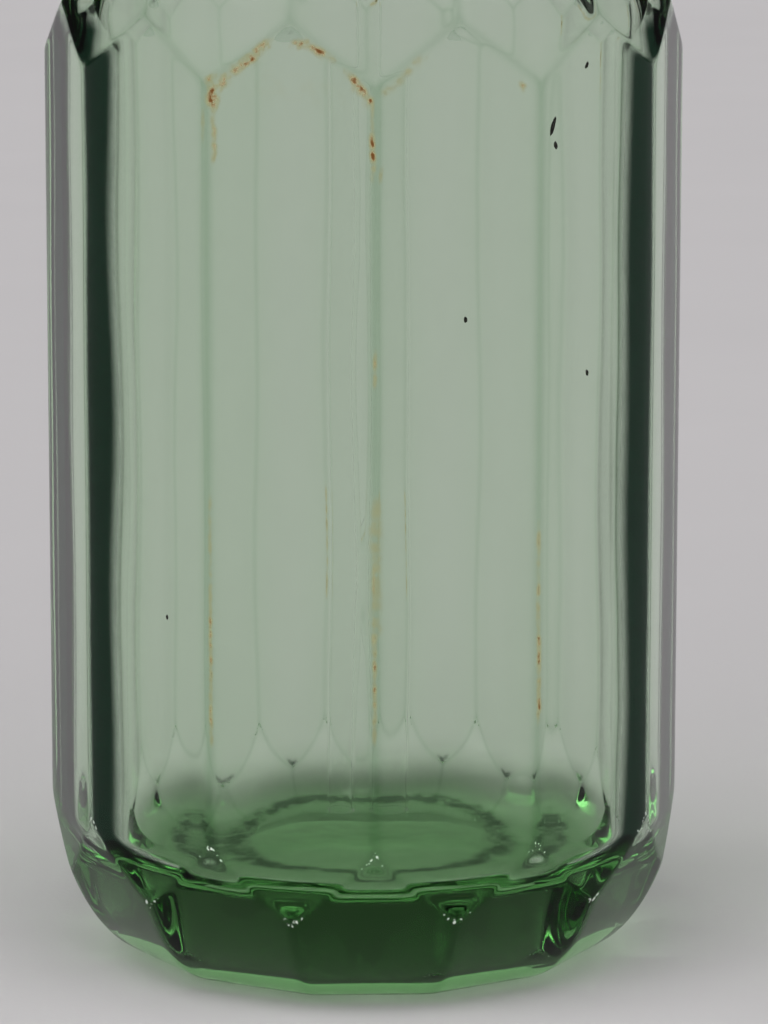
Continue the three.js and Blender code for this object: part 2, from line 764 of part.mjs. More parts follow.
place('glass_bottle', glassBottle(), COLOURS.bottleGlass);
place('neck_gasket', ring(SEAL, FINE), COLOURS.rubber);
place('collar_half_front', collarHalf(-1), COLOURS.castMetal);
place('collar_half_back', collarHalf(1), COLOURS.castMetal);
place('head_body', headBody(), COLOURS.castMetal);
place('top_cap', topCap(), COLOURS.castMetal);
place('cap_gasket', ring(CAP_WASHER, FINE), COLOURS.fibre);
place('spout', spout(), COLOURS.castMetal);
place('spout_gasket', spoutGasket(), COLOURS.fibre);
place('tube_holder', tubeHolder(), COLOURS.brass);
place('seat_gasket', ring(SEAT_WASHER), COLOURS.fibre);
place('tube_grommet', ring(GROMMET), COLOURS.rubber);
place('tube_nut', tubeNut(), COLOURS.brass);
place('dip_tube', dipTube(), COLOURS.tubeGlass);
place('piston', piston(), COLOURS.brass);
place('valve_disc', ring(DISC), COLOURS.rubber);
place('valve_screw', valveScrew(), COLOURS.brass);
place('packing_washer', ring(PACKING_WASHER), COLOURS.brass);
place('piston_packing', ring(PACKING), COLOURS.leather);
place('gland_nut', glandNut(), COLOURS.brass);
place('piston_spring', pistonSpring(), COLOURS.spring);
place('spring_washer', ring(SPRING_WASHER), COLOURS.brass);
place('lever', lever(), COLOURS.castMetal);
place('lever_pin', leverPin(), COLOURS.brass);

export default bottle;
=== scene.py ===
"""Looks of a seltzer bottle: thick, faceted, pale green glass under an aged metal lever head."""
import math

import bpy
import numpy as np
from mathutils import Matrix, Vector

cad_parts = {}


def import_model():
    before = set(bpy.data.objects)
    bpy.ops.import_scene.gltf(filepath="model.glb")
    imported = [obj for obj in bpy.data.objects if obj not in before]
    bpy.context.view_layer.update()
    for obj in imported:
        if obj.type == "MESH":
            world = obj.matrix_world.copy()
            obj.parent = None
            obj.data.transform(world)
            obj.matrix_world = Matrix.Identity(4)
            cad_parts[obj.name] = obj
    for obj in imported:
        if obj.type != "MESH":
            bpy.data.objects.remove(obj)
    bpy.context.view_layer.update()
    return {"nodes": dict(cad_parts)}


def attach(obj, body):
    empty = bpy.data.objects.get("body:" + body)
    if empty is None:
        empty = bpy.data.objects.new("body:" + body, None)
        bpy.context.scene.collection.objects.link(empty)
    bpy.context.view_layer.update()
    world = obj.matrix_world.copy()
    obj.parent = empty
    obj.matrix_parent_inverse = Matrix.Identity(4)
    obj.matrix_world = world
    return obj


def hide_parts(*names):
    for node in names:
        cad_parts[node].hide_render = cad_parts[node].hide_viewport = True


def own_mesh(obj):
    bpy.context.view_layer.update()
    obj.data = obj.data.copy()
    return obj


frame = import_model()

# Lengths are in millimetres here, and become metres when a mesh is made. An outline's points are
# (distance from the axis, height), and an azimuth is 0 at the front, which faces -Y.
MM = 0.001

FACETS = 12
SECTOR = 2 * math.pi / FACETS
HALF_SECTOR = SECTOR / 2

# The photograph's camera: where it looks from, how far, and how narrowly.
CAMERA_AZIMUTH = -1.88
CAMERA_ELEVATION = 10.90
CAMERA_DISTANCE = 860.1
CAMERA_TARGET_HEIGHT = 69.89
CAMERA_LENS = 191.6
CAMERA_SHIFT_X = 0.0195
CAMERA_NEAR = 10.0

# Outside of the glass, as in the solids: the sides, and the second set of facets at heel and shoulder.
# A curve is its start, its two pulls and its end.
GLASS_RADIUS = 50.0
FACE_DISTANCE = GLASS_RADIUS * math.cos(HALF_SECTOR)
FOOT = 29.5
HEEL = ((FOOT, 0.0), ((42.0, 0.0), (46.9, 12.9)), (50.4, 28.5))
SHOULDER = ((50.4, 141.4), ((44.0, 159.5), (38.5, 177.5)), (26.0, 187.5))
MOULD_CLEAR = 53.0  # the second set half way up, outside the sides
THROAT = (SHOULDER[-1], ((20.5, 191.9), (16.5, 194.5)), (16.5, 199.5))
NECK_RADIUS = 17.3
LIP_RADIUS = 19.2
LIP_TOP = 221.0
BORE_RADIUS = 10.5
RECESS_RADIUS = 27.5
RECESS_RIM = 24.0
RECESS_DEPTH = 0.3

# Inside of the glass.
CAVITY_FLOOR = 17.8
CAVITY_FLOOR_RADIUS = 20.0
CAVITY_RADIUS = 43.4
CAVITY_WALL_FOOT = 23.8
CAVITY_WALL_TOP = 147.0
CAVITY_CORNER = (
    (CAVITY_FLOOR_RADIUS, CAVITY_FLOOR), ((38.2, 17.8), (43.4, 18.0)), (CAVITY_RADIUS, CAVITY_WALL_FOOT),
)
CAVITY_SHOULDER = ((CAVITY_RADIUS, CAVITY_WALL_TOP), ((43.4, 154.5), (35.0, 172.0)), (20.0, 183.5))
CAVITY_THROAT = ((20.0, 183.5), ((15.0, 187.5), (BORE_RADIUS, 191.0)), (BORE_RADIUS, 198.0))

# How sharply neighbouring facets meet: a larger power leaves a narrower rounding.
SIDE_SHARPNESS = 85
MOULD_SHARPNESS = 200
ZIGZAG_SHARPNESS = 420

# The columns of the glass's mesh, in degrees from a ridge to the middle of a facet.
COLUMN_STEPS = (0, .25, .5, .8, 1.2, 1.7, 2.4, 3.4, 4.6, 6, 7.5, 9, 10.4, 11.6, 12.6, 13.4, 14.1, 14.6)

# Waves of the blown inner wall: depth, how many round the bottle, their turn for each millimetre of
# height, and their turn at the base. The first is the whole inside being off the middle.
WALL_WAVES = ((0.6, 1, 0, 1.4), (0.10, 2, 0.031, 0), (0.07, 5, -0.07, 0), (0.04, 9, 0.12, 0))

# Wear and stains of the glass, darker patches in the heel's V, and painted shade along its edges: how far
# each spreads from its edges, and where it lies.
ZIGZAG_BLUR = 1.0
RIDGE_WIDTH = 1.0
SEAM_WIDTH = 0.8
SEAM_FOOT = 1.0
CREASE_WIDTH = 0.9
CHIP_WIDTH = 1.1
CORNER_WIDTH = 2.6
# Darker patches at the foot of each V where the heel meets the sides.
HEEL_V_DARK_SHARE = 0.75
HEEL_V_DARK_RISE = 1.3
HEEL_V_DARK_WIDTH = 1.5
RESIDUE_RADIUS = 25.0
RESIDUE_WIDTH = 3.4
RESIDUE_TOP = CAVITY_FLOOR + 3

# Heights from which the painted dark reflection on the inner wall can start, can be full, starts to clear
# and is clear.
DARK_WALL = (18.5, 22.5, 147.0, 153.0)

# Rust runs on the outside: azimuth and height of both ends, half width, strength.
RUST_RUNS = (
    (-28.9, 143, -28.6, 140, 1.1, 0.8),
    (-28.6, 141, -28.4, 131.5, 0.6, 0.5),
    (-30.6, 139, -30.6, 134.5, 0.4, 0.5),
    (-28, 142.2, -24, 145.4, 0.9, 0.68),
    (-22.6, 146.2, -19, 148.6, 0.9, 0.74),
    (-14.5, 148.7, -11.4, 148.9, 0.7, 0.58),
    (-11.6, 148.8, -8, 147, 0.7, 0.7),
    (-4.4, 144.6, -1, 140.8, 0.7, 0.74),
    (-0.5, 140.5, -0.5, 136, 0.4, 0.4),
    (-0.5, 135.5, -0.3, 130, 0.5, 0.7),
    (1, 130.9, 1, 128.8, 0.4, 0.5),
    (1.8, 141.8, 8.4, 147, 0.9, 0.36),
    (26.5, 142.6, 26.5, 142, 0.5, 0.62),
    (0, 104, 0, 99.3, 0.4, 0.5),
    (0.1, 80, 0.1, 60.5, 1.2, 0.34),
    (-0.2, 71, -0.2, 58, 0.4, 0.52),
    (0, 60, -0.1, 44, 0.4, 0.52),
    (30, 75, 30.1, 60, 0.5, 0.42),
    (30.2, 60, 30.3, 46, 0.5, 0.58),
    (-29.6, 81, -29.6, 62, 0.4, 0.36),
    (-29.6, 62, -29.6, 43, 0.4, 0.56),
    (-21, 143, -4, 141, 3.4, 0.14),
    (98, 145, 105, 148.6, 0.9, 0.5),
    (120.4, 143, 120.2, 134, 0.6, 0.5),
    (178, 144, 171, 147.6, 0.8, 0.5),
    (-179.8, 66, -179.9, 47, 0.4, 0.44),
    (-92, 144, -99, 148, 0.8, 0.5),
)

# Black specks in the glass: azimuth, height, length, width and lean in degrees.
STONES = (
    (32.9, 135.9, 2.6, 0.75, 20),
    (33.6, 133, 1.1, 0.7, -10),
    (41.7, 144.4, 1, 0.6, 30),
    (16.4, 107.7, 0.8, 0.55, 0),
    (42.4, 97.9, 0.9, 0.6, -20),
    (-40, 61, 0.7, 0.45, 0),
)
STONE_DEPTH = 0.5
STONE_HALF_DEPTH = 0.22
STONE_LUMPS = 0.18


# Curves

STRAIGHT_COSINE = -0.96  # two sides that meet at less than this make no corner
LONGEST_CUT = 0.45  # share of a side that one rounding may take


def bezier(start, pulls, end, shares):
    """Points of a cubic curve at the given shares of its parameter."""
    t = np.asarray(shares, float)[:, None]
    s = 1 - t
    points = [np.array(p, float) for p in (start, *pulls, end)]
    first_half = s ** 3 * points[0] + 3 * s * s * t * points[1]
    return first_half + 3 * s * t * t * points[2] + t ** 3 * points[3]


def curved(start, pulls, end, count):
    return bezier(start, pulls, end, np.linspace(0, 1, count))


def evenly(curve, count):
    """A curve's points at even distances along it."""
    steps = np.linalg.norm(np.diff(curve, axis=0), axis=1)
    lengths = np.concatenate([[0], np.cumsum(steps)])
    at = np.linspace(0, lengths[-1], count)
    return np.stack([np.interp(at, lengths, curve[:, k]) for k in range(curve.shape[1])], axis=1)


def through(points, count, samples=800):
    """Evenly spaced points on a smooth curve through the given ones."""
    points = np.array(points, float)
    steps = np.linalg.norm(np.diff(points, axis=0), axis=1)
    knots = np.concatenate([[0], np.cumsum(steps)])
    slopes = np.gradient(points, knots, axis=0)
    fine = np.linspace(0, knots[-1], samples)
    i = np.clip(np.searchsorted(knots, fine, side="right") - 1, 0, len(steps) - 1)
    h = steps[i][:, None]
    t = ((fine - knots[i]) / steps[i])[:, None]
    curve = (2 * t ** 3 - 3 * t ** 2 + 1) * points[i] + (t ** 3 - 2 * t ** 2 + t) * h * slopes[i]
    curve += (3 * t ** 2 - 2 * t ** 3) * points[i + 1] + (t ** 3 - t ** 2) * h * slopes[i + 1]
    return evenly(curve, count)


def falling(count):
    return np.linspace(1, 0, count)


def eased(count, start_pull=1.0, end_pull=1.0):
    """Shares from 0 to 1 that crowd towards an end whose pull is above 1."""
    t = np.linspace(0, 1, count)
    near_end = 1 - (1 - t) ** end_pull
    near_start = t ** start_pull
    return near_start * (1 - t) + near_end * t


def smooth_step(values, low, high):
    t = np.clip((np.asarray(values, float) - low) / (high - low), 0, 1)
    return t * t * (3 - 2 * t)


def between(values, start, full, fading, end):
    """1 inside a range, eased to 0 at both its ends."""
    return smooth_step(values, start, full) * (1 - smooth_step(values, fading, end))


def bell(distance, width):
    """1 at no distance, falling off over that width."""
    return np.exp(-(distance / width) ** 2)


def rounded(outline, radius, closed=True):
    """An outline with its sharp corners rounded off."""
    points = [np.array(p, float) for p in outline]
    last = len(points) - 1
    result = []
    for i, point in enumerate(points):
        before, after = points[i - 1] - point, points[(i + 1) % len(points)] - point
        lengths = np.linalg.norm(before), np.linalg.norm(after)
        straight = np.dot(before, after) / (lengths[0] * lengths[1]) < STRAIGHT_COSINE
        if straight or (not closed and i in (0, last)):
            result.append(point)
            continue
        reach = min(radius, LONGEST_CUT * min(lengths))
        start, end = point + before / lengths[0] * reach, point + after / lengths[1] * reach
        for t in (0, 0.25, 0.5, 0.75, 1):
            result.append((1 - t) ** 2 * start + 2 * t * (1 - t) * point + t * t * end)
    return np.array(result)


# Meshes

def placed(name, data):
    """A new object in the scene."""
    thing = bpy.data.objects.new(name, data)
    bpy.context.scene.collection.objects.link(thing)
    return thing


def mesh_object(name, vertices, faces):
    mesh = bpy.data.meshes.new(name)
    mesh.from_pydata([tuple(v) for v in np.asarray(vertices) * MM], [], faces)
    mesh.update()
    mesh.polygons.foreach_set("use_smooth", [True] * len(mesh.polygons))
    return placed(name, mesh)


def row_faces(first, count):
    """Faces between a closed row of points and the row after it."""
    faces = []
    for j in range(count):
        a, b = first + j, first + (j + 1) % count
        faces.append((a, a + count, b + count, b))
    return faces


def skin(name, rings):
    """A closed piece over rings of equal count; its first and last rings shrink to a point."""
    count = len(rings[0])
    middle = rings[1:-1]
    vertices = [rings[0][0]] + [p for ring in middle for p in ring] + [rings[-1][0]]
    last = len(vertices) - 1
    faces = []
    for j in range(count):
        k = (j + 1) % count
        faces.append((0, 1 + k, 1 + j))
        for i in range(len(middle) - 1):
            a = 1 + i * count
            faces.append((a + j, a + k, a + count + k, a + count + j))
        a = 1 + (len(middle) - 1) * count
        faces.append((a + j, a + k, last))
    return mesh_object(name, vertices, faces)


def ended_skin(name, rings):
    """A closed piece over rings of equal count, with flat ends."""
    ends = [np.repeat(ring.mean(axis=0)[None], len(ring), axis=0) for ring in (rings[0], rings[-1])]
    return skin(name, [ends[0], *rings, ends[1]])


def loop_skin(name, rings):
    """A closed piece over rings of equal count, the last of which meets the first."""
    count, total = len(rings[0]), len(rings)
    faces = []
    for i in range(total):
        a, b = i * count, (i + 1) % total * count
        for j in range(count):
            k = (j + 1) % count
            faces.append((a + j, a + k, b + k, b + j))
    return mesh_object(name, np.concatenate(rings), faces)


def full_turn(sides):
    return np.linspace(0, 2 * math.pi, sides, endpoint=False)


def ring_points(angles, radius, height):
    radius = np.broadcast_to(radius, angles.shape)
    height = np.broadcast_to(height, angles.shape)
    return np.stack([radius * np.cos(angles), radius * np.sin(angles), height], axis=1)


def along(points, axis, at):
    """Points made about Z, turned so that Z becomes the given axis, and moved."""
    order = {"X": (2, 0, 1), "Y": (1, 2, 0), "Z": (0, 1, 2)}[axis]
    return np.asarray(points)[:, order] + np.array(at, float)


def turned(name, outline, sides, axis="Z", at=(0, 0, 0), flutes=None):
    """A piece turned from an outline, which closes on itself or starts and ends on the axis.
    flutes gives the radius at each angle for a point of the outline."""
    angles = full_turn(sides)
    rings = []
    for radius, height in outline:
        reach = flutes(angles, radius, height) if flutes else radius
        rings.append(along(ring_points(angles, reach, height), axis, at))
    on_axis = outline[0][0] == 0
    return skin(name, rings) if on_axis else loop_skin(name, rings)


def bored(inner, outer, foot, top):
    return [(inner, foot), (outer, foot), (outer, top), (inner, top)]


def swept(name, path, section):
    """A closed bar along (x, z) points; section gives (across, y) points by share of the way."""
    path = np.asarray(path, float)
    tangents = np.gradient(path, axis=0)
    tangents /= np.linalg.norm(tangents, axis=1)[:, None]
    rings = []
    for i, (middle, tangent) in enumerate(zip(path, tangents)):
        offsets = section(i / (len(path) - 1))
        x = middle[0] - tangent[1] * offsets[:, 0]
        z = middle[1] + tangent[0] * offsets[:, 0]
        rings.append(np.stack([x, offsets[:, 1], z], axis=1))
    return ended_skin(name, rings)


def oval(half_height, half_width, sides=40, power=2.0):
    """An ellipse, or a squarer oval where the power is above 2."""
    angles = full_turn(sides)
    cosine, sine = np.cos(angles), np.sin(angles)
    across = np.sign(cosine) * np.abs(cosine) ** (2 / power) * half_height
    width = np.sign(sine) * np.abs(sine) ** (2 / power) * half_width
    return np.stack([across, width], axis=1)


def block(name, low, high):
    corners = []
    for z in (low[2], high[2]):
        for y in (low[1], high[1]):
            corners += [(x, y, z) for x in (low[0], high[0])]
    faces = [(0, 2, 3, 1), (4, 5, 7, 6), (0, 1, 5, 4), (2, 6, 7, 3), (0, 4, 6, 2), (1, 3, 7, 5)]
    return mesh_object(name, corners, faces)


def bar(name, radius, start, end, axis, at):
    return turned(name, [(0, start), (radius, start), (radius, end), (0, end)], 64, axis, at)


def prism(name, outline, half_width):
    """An outline of (x, z) points, counted anticlockwise, drawn out along Y."""
    count = len(outline)
    vertices = [(x, y, z) for y in (-half_width, half_width) for x, z in outline]
    faces = [tuple(range(count)), tuple(reversed(range(count, 2 * count)))]
    return mesh_object(name, vertices, faces + row_faces(0, count))


def cast(name, joined, cut, voxel, smoothing):
    """One casting: closed pieces joined and cut, then remeshed so that its corners soften."""
    piece = joined[0]
    steps = [(other, "UNION") for other in joined[1:]] + [(other, "DIFFERENCE") for other in cut]
    for other, operation in steps:
        boolean = piece.modifiers.new(operation.lower(), "BOOLEAN")
        boolean.operation = operation
        boolean.solver = "EXACT"
        boolean.object = other
    remesh = piece.modifiers.new("remesh", "REMESH")
    remesh.mode = "VOXEL"
    remesh.voxel_size = voxel * MM
    remesh.use_smooth_shade = True
    soften = piece.modifiers.new("soften", "SMOOTH")
    soften.factor = 0.5
    soften.iterations = smoothing
    graph = bpy.context.evaluated_depsgraph_get()
    result = placed(name, bpy.data.meshes.new_from_object(piece.evaluated_get(graph)))
    for used in (*joined, *cut):
        bpy.data.objects.remove(used)
    return result


def dressed(piece, material):
    piece.data.materials.clear()
    piece.data.materials.append(material)


def finished(piece, material, node, body="root"):
    """Gives a piece its material and its place in the frame."""
    dressed(piece, material)
    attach(piece, body)
    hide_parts(node)


# The glass bottle

LEAST_FACING = 0.1  # a face turned further away doesn't bound the section
FAR_OFF = 10 * GLASS_RADIUS


def glass_columns():
    """Angles of the mesh's columns, closest together at the ridges and at the facets' middles."""
    sector = math.degrees(SECTOR)
    steps = np.array(COLUMN_STEPS)
    offsets = np.concatenate([steps, [sector / 2], sector - steps[:0:-1]])
    return np.radians(np.concatenate([offsets + sector * i for i in range(FACETS)]))


def joined_radius(radii, sharpness):
    """The smallest of several radii, with the change from one to the next rounded off."""
    least = np.min(radii, axis=0)
    total = np.sum((least / np.asarray(radii)) ** sharpness, axis=0)
    return least * total ** (-1 / sharpness)


def polygon_radius(angles, face_distance, first_face, sharpness):
    """Radius at each angle of a twelve-sided section whose faces are that far from the axis."""
    radii = []
    for i in range(FACETS):
        facing = np.cos(angles - first_face - i * SECTOR)
        reach = face_distance / np.maximum(facing, LEAST_FACING)
        radii.append(np.where(facing > LEAST_FACING, reach, FAR_OFF))
    return joined_radius(radii, sharpness)


def outer_radius(angles, mould_reach):
    """Radius of the sides, cut by mould facets that are that far from the axis."""
    sides = polygon_radius(angles, FACE_DISTANCE, HALF_SECTOR, SIDE_SHARPNESS)
    mould = polygon_radius(angles, mould_reach, 0, MOULD_SHARPNESS)
    return joined_radius([sides, mould], ZIGZAG_SHARPNESS)


def from_ridge(angles):
    """Angle from the nearest ridge of the sides."""
    return np.abs((angles + HALF_SECTOR) % SECTOR - HALF_SECTOR)


def crease_distance(angles):
    """Distance of the mould's facets from the axis where they cross the sides, at each angle."""
    offset = from_ridge(angles)
    return FACE_DISTANCE * np.cos(offset) / np.cos(HALF_SECTOR - offset)


def crease_share(angles, curve, samples=4000):
    """Share of the heel's or shoulder's curve at which it crosses the sides, at each angle."""
    shares = np.linspace(0, 1, samples)
    reach = bezier(*curve, shares)[:, 0]
    order = np.argsort(reach)
    return np.interp(crease_distance(angles), reach[order], shares[order])


def crease_height(angles, curve):
    """Height of the zigzag between the sides and the heel or shoulder."""
    return bezier(*curve, crease_share(angles, curve))[:, 1]


def mould_distance(heights, samples=2000):
    """Distance of the mould's facets from the axis at each height."""
    middle = np.array([[MOULD_CLEAR, (HEEL[-1][1] + SHOULDER[0][1]) / 2]])
    line = np.concatenate([curved(*HEEL, samples), middle, curved(*SHOULDER, samples)])
    return np.interp(heights, line[:, 1], line[:, 0])


def mould_ring(angles, curve, shares):
    """A ring of the heel or shoulder, at a share of its curve for each angle."""
    points = bezier(*curve, shares)
    return ring_points(angles, outer_radius(angles, points[:, 0]), points[:, 1])


def base_rings(angles, rows=14):
    """The hollow under the base, its sloping rim, and the flat ring round it."""
    flat = RECESS_RADIUS - RECESS_RIM
    outline = [(flat * share, RECESS_DEPTH) for share in np.linspace(0, 1, rows)]
    for share in (0.08, 0.3, 0.5, 0.7, 0.92, 1):
        height = RECESS_DEPTH * (1 - smooth_step(share, 0, 1))
        outline.append((RECESS_RADIUS - RECESS_RIM * (1 - share), height))
    foot = polygon_radius(angles, FOOT, 0, MOULD_SHARPNESS)
    outline += [(RECESS_RADIUS + (foot - RECESS_RADIUS) * share, 0) for share in (0.06, 0.5, 0.94)]
    return [ring_points(angles, radius, height) for radius, height in outline]


def heel_rings(angles, rows=34):
    crease = crease_share(angles, HEEL)
    return [mould_ring(angles, HEEL, crease * share) for share in eased(rows, end_pull=2.4)]


def side_rings(angles, rows=64):
    low, high = crease_height(angles, HEEL), crease_height(angles, SHOULDER)
    rings = []
    for share in eased(rows, start_pull=1.9, end_pull=1.9)[1:-1]:
        heights = low + (high - low) * share
        rings.append(ring_points(angles, outer_radius(angles, mould_distance(heights)), heights))
    return rings


def shoulder_rings(angles, rows=36, throat_rows=16):
    """The faceted shoulder, and the throat above it that turns round."""
    crease = crease_share(angles, SHOULDER)
    rings = []
    for share in eased(rows, start_pull=2.0):
        rings.append(mould_ring(angles, SHOULDER, crease + (1 - crease) * share))
    for share in np.linspace(0, 1, throat_rows)[1:]:
        distance, height = bezier(*THROAT, [share])[0]
        faceted = polygon_radius(angles, distance, 0, MOULD_SHARPNESS)
        rings.append(ring_points(angles, faceted + (NECK_RADIUS - faceted) * share ** 2, height))
    return rings


def neck_rings(angles):
    """The round neck, its thick lip, and the start of the bore."""
    outline = [(NECK_RADIUS, 206), (NECK_RADIUS, 209.6), (17.5, 210.5), (18.2, 211), (18.8, 211.3)]
    outline += [(LIP_RADIUS, 212), (LIP_RADIUS, 219), (18.9, 220.2), (18.2, 220.8), (17.2, LIP_TOP)]
    outline += [(12.6, LIP_TOP), (11.5, 220.7), (10.8, 220.1), (BORE_RADIUS, 219), (BORE_RADIUS, 205)]
    return [ring_points(angles, radius, height) for radius, height in outline]


def cavity_rings(angles):
    """The inside, from the bore down to the middle of the floor."""
    throat = bezier(*CAVITY_THROAT, falling(14))
    shoulder = bezier(*CAVITY_SHOULDER, falling(26)[1:])
    heights = np.linspace(CAVITY_WALL_TOP, CAVITY_WALL_FOOT, 40)[1:]
    wall = np.stack([np.full_like(heights, CAVITY_RADIUS), heights], axis=1)
    corner = bezier(*CAVITY_CORNER, falling(40)[1:])
    bottom = [(CAVITY_FLOOR_RADIUS * share, CAVITY_FLOOR) for share in falling(16)[1:]]
    rings = []
    for radius, height in (*throat, *shoulder, *wall, *corner, *bottom):
        share = smooth_step(radius, BORE_RADIUS, CAVITY_RADIUS)
        waves = sum(d * np.sin(n * angles + turn * height + start) for d, n, turn, start in WALL_WAVES)
        rings.append(ring_points(angles, radius + waves * share, height))
    return rings


def stroke(azimuths, heights, run):
    """How strongly a run of rust covers each point of the outside."""
    start_azimuth, start_height, end_azimuth, end_height, half_width, strength = run
    turn = math.radians(1) * GLASS_RADIUS
    points = np.stack([(azimuths - start_azimuth + 180) % 360 - 180, heights], axis=1) * (turn, 1)
    start = np.array([0, start_height])
    way = np.array([(end_azimuth - start_azimuth) * turn, end_height - start_height])
    share = np.clip((points - start) @ way / (way @ way), 0, 1)
    distance = np.linalg.norm(points - start - share[:, None] * way, axis=1)
    return strength * bell(distance, half_width)


def glass_wear_and_shade(piece, outer_count):
    """Writes at each vertex the glass's rust, chips and residue, the darker patches in the heel's V, the
    painted shade along its ridges, seams and creases, and where its inner wall can carry the painted dark
    reflection.
    """
    points = np.array([v.co for v in piece.data.vertices]) / MM
    outer = np.arange(len(points)) < outer_count
    angles = np.arctan2(points[:, 1], points[:, 0])
    radius = np.hypot(points[:, 0], points[:, 1])
    height = points[:, 2]
    azimuths = np.degrees(angles) + 90
    low, high = crease_height(angles, HEEL), crease_height(angles, SHOULDER)
    blur = ZIGZAG_BLUR
    on_sides = between(height, low - blur, low + blur, high - blur, high + blur)
    to_ridge = from_ridge(angles) * radius
    to_middle = (HALF_SECTOR - from_ridge(angles)) * radius
    # Painted shade: darker green along the ridges, stronger towards the front, and along the seams and
    # creases.
    ridge = bell(to_ridge, RIDGE_WIDTH) * on_sides
    ridge *= 0.7 + 0.3 * np.cos(np.radians(azimuths))
    seam = bell(to_middle, SEAM_WIDTH) * (1 - on_sides) * (height > SEAM_FOOT)
    crease = bell(height - low, CREASE_WIDTH) + bell(height - high, CREASE_WIDTH)
    rust = np.max([stroke(azimuths, height, run) for run in RUST_RUNS], axis=0)
    heel = bell(height - low, CHIP_WIDTH)
    corner = bell(to_ridge, CORNER_WIDTH) + bell(to_middle, CORNER_WIDTH)
    # Darker patches at the foot of each V where the heel meets the sides.
    heel_v_dark = bell(to_middle, CORNER_WIDTH)
    heel_v_dark *= HEEL_V_DARK_SHARE * bell(height - low - HEEL_V_DARK_RISE, HEEL_V_DARK_WIDTH) * on_sides
    residue = bell(radius - RESIDUE_RADIUS, RESIDUE_WIDTH) * (height < RESIDUE_TOP)
    values = {
        # Painted shade along the ridges, seams and creases.
        "ridge": np.clip(ridge + 0.6 * seam + 0.5 * crease, 0, 1) * outer,
        "rust": rust * outer,
        "chip": np.clip(heel * (0.55 + 0.45 * corner), 0, 1) * outer,
        "heel_v_dark": heel_v_dark * outer,
        "residue": residue * ~outer,
        # Where the inner wall can carry the painted dark reflection.
        "inside": between(height, *DARK_WALL) * ~outer,
    }
    for name, data in values.items():
        attribute = piece.data.attributes.new(name, "FLOAT", "POINT")
        attribute.data.foreach_set("value", data.astype(np.float32))


def glass_bottle():
    angles = glass_columns()
    outside = base_rings(angles) + heel_rings(angles) + side_rings(angles) + shoulder_rings(angles)
    piece = skin("bottle", outside + neck_rings(angles) + cavity_rings(angles))
    glass_wear_and_shade(piece, 1 + (len(outside) - 1) * len(angles))
    finished(piece, glass_material(), "glass_bottle")


def stone_points(rows, columns, azimuth, height, length, width, lean):
    """Rows of points of one lump, from its top to its foot."""
    angle, tilt = math.radians(azimuth), math.radians(lean)
    out = np.array([math.sin(angle), -math.cos(angle), 0])
    side = np.array([math.cos(angle), math.sin(angle), 0])
    reach = FACE_DISTANCE / math.cos(HALF_SECTOR - float(from_ridge(angle))) - STONE_DEPTH
    middle = out * reach + np.array([0, 0, height])
    points = []
    for i in range(rows + 1):
        polar = math.pi * i / rows
        for j in range(columns):
            turn = 2 * math.pi * j / columns
            lump = 1 + STONE_LUMPS * math.sin(3 * turn + 2 * polar + azimuth)
            u = width / 2 * lump * math.sin(polar) * math.cos(turn)
            v = length / 2 * lump * math.cos(polar)
            w = STONE_HALF_DEPTH * math.sin(polar) * math.sin(turn)
            across = u * math.cos(tilt) + v * math.sin(tilt)
            rise = v * math.cos(tilt) - u * math.sin(tilt)
            points.append(middle + side * across + np.array([0, 0, rise]) + out * w)
    return points


def glass_stones(rows=7, columns=10):
    """Dark specks just under the outside of the glass."""
    vertices, faces = [], []
    for stone in STONES:
        first = len(vertices)
        vertices += stone_points(rows, columns, *stone)
        for i in range(rows):
            faces += row_faces(first + i * columns, columns)
    piece = mesh_object("glass_stones", vertices, faces)
    finished(piece, stone_material(), "glass_bottle")


# The head

PIVOT = (12.3, 0.0, 270.0)
PORT_HEIGHT = 238.0
PORT_PLACE = (0, 0, PORT_HEIGHT)
SKIRT_FOOT = 203.8
SKIRT_RADIUS = 23.8
WAIST_RADIUS = 14.6
DRUM_RADIUS = 16.6
NECK_THREAD_RADIUS = 12.4
NECK_TOP = 284.0
HOUSING_FOOT, HOUSING_TOP, HOUSING_REACH, HOUSING_HALF_WIDTH = 263.6, 276.3, 19.2, 9.2
HOUSING_CORNER = 5
SLOT_HALF_WIDTH = 3.4
HEAD_INSIDE = (
    (0, 202), (20.8, 202), (20.8, 223.5), (8.2, 223.5), (8.2, 231.5), (8.6, 231.5), (8.6, 245.5),
    (3.4, 245.5), (3.4, 248.5), (7.3, 248.5), (7.3, 262.5), (9.3, 262.5), (9.3, 285.5), (0, 285.5),
)

# Lines turned into the head, and the radius outside which they are cut.
TURNED_LINES = (210.2, 211.8, 258.0, 274.6)
LINE_DEPTH = 0.55
LINE_WIDTH = 0.5
LINE_LEAST_RADIUS = 14

# Round forms of the head, lever and spout: radius, and both ends along their axis.
BOSS = (8.6, -19, -8.6)
SPOUT_SOCKET = (5.3, -20, -13)
PORT = (2.2, -14, 0)
PIN_HOLE = (1.9, -18, 18)
PIN_SEAT_FRONT = (3.5, -18, -HOUSING_HALF_WIDTH)
PIN_SEAT_BACK = (3.5, HOUSING_HALF_WIDTH, 18)
LEVER_HUB = (4.4, -3, 3)
LEVER_BORE = (1.88, -5, 5)
ARM_TIP = (2.2, -2.4, 2.4)
SPOUT_FLANGE = (7.8, -22.2, -20)
SPOUT_SPIGOT = (5, -21, -13.3)
SPOUT_INLET = (1.9, -22.2, -12)

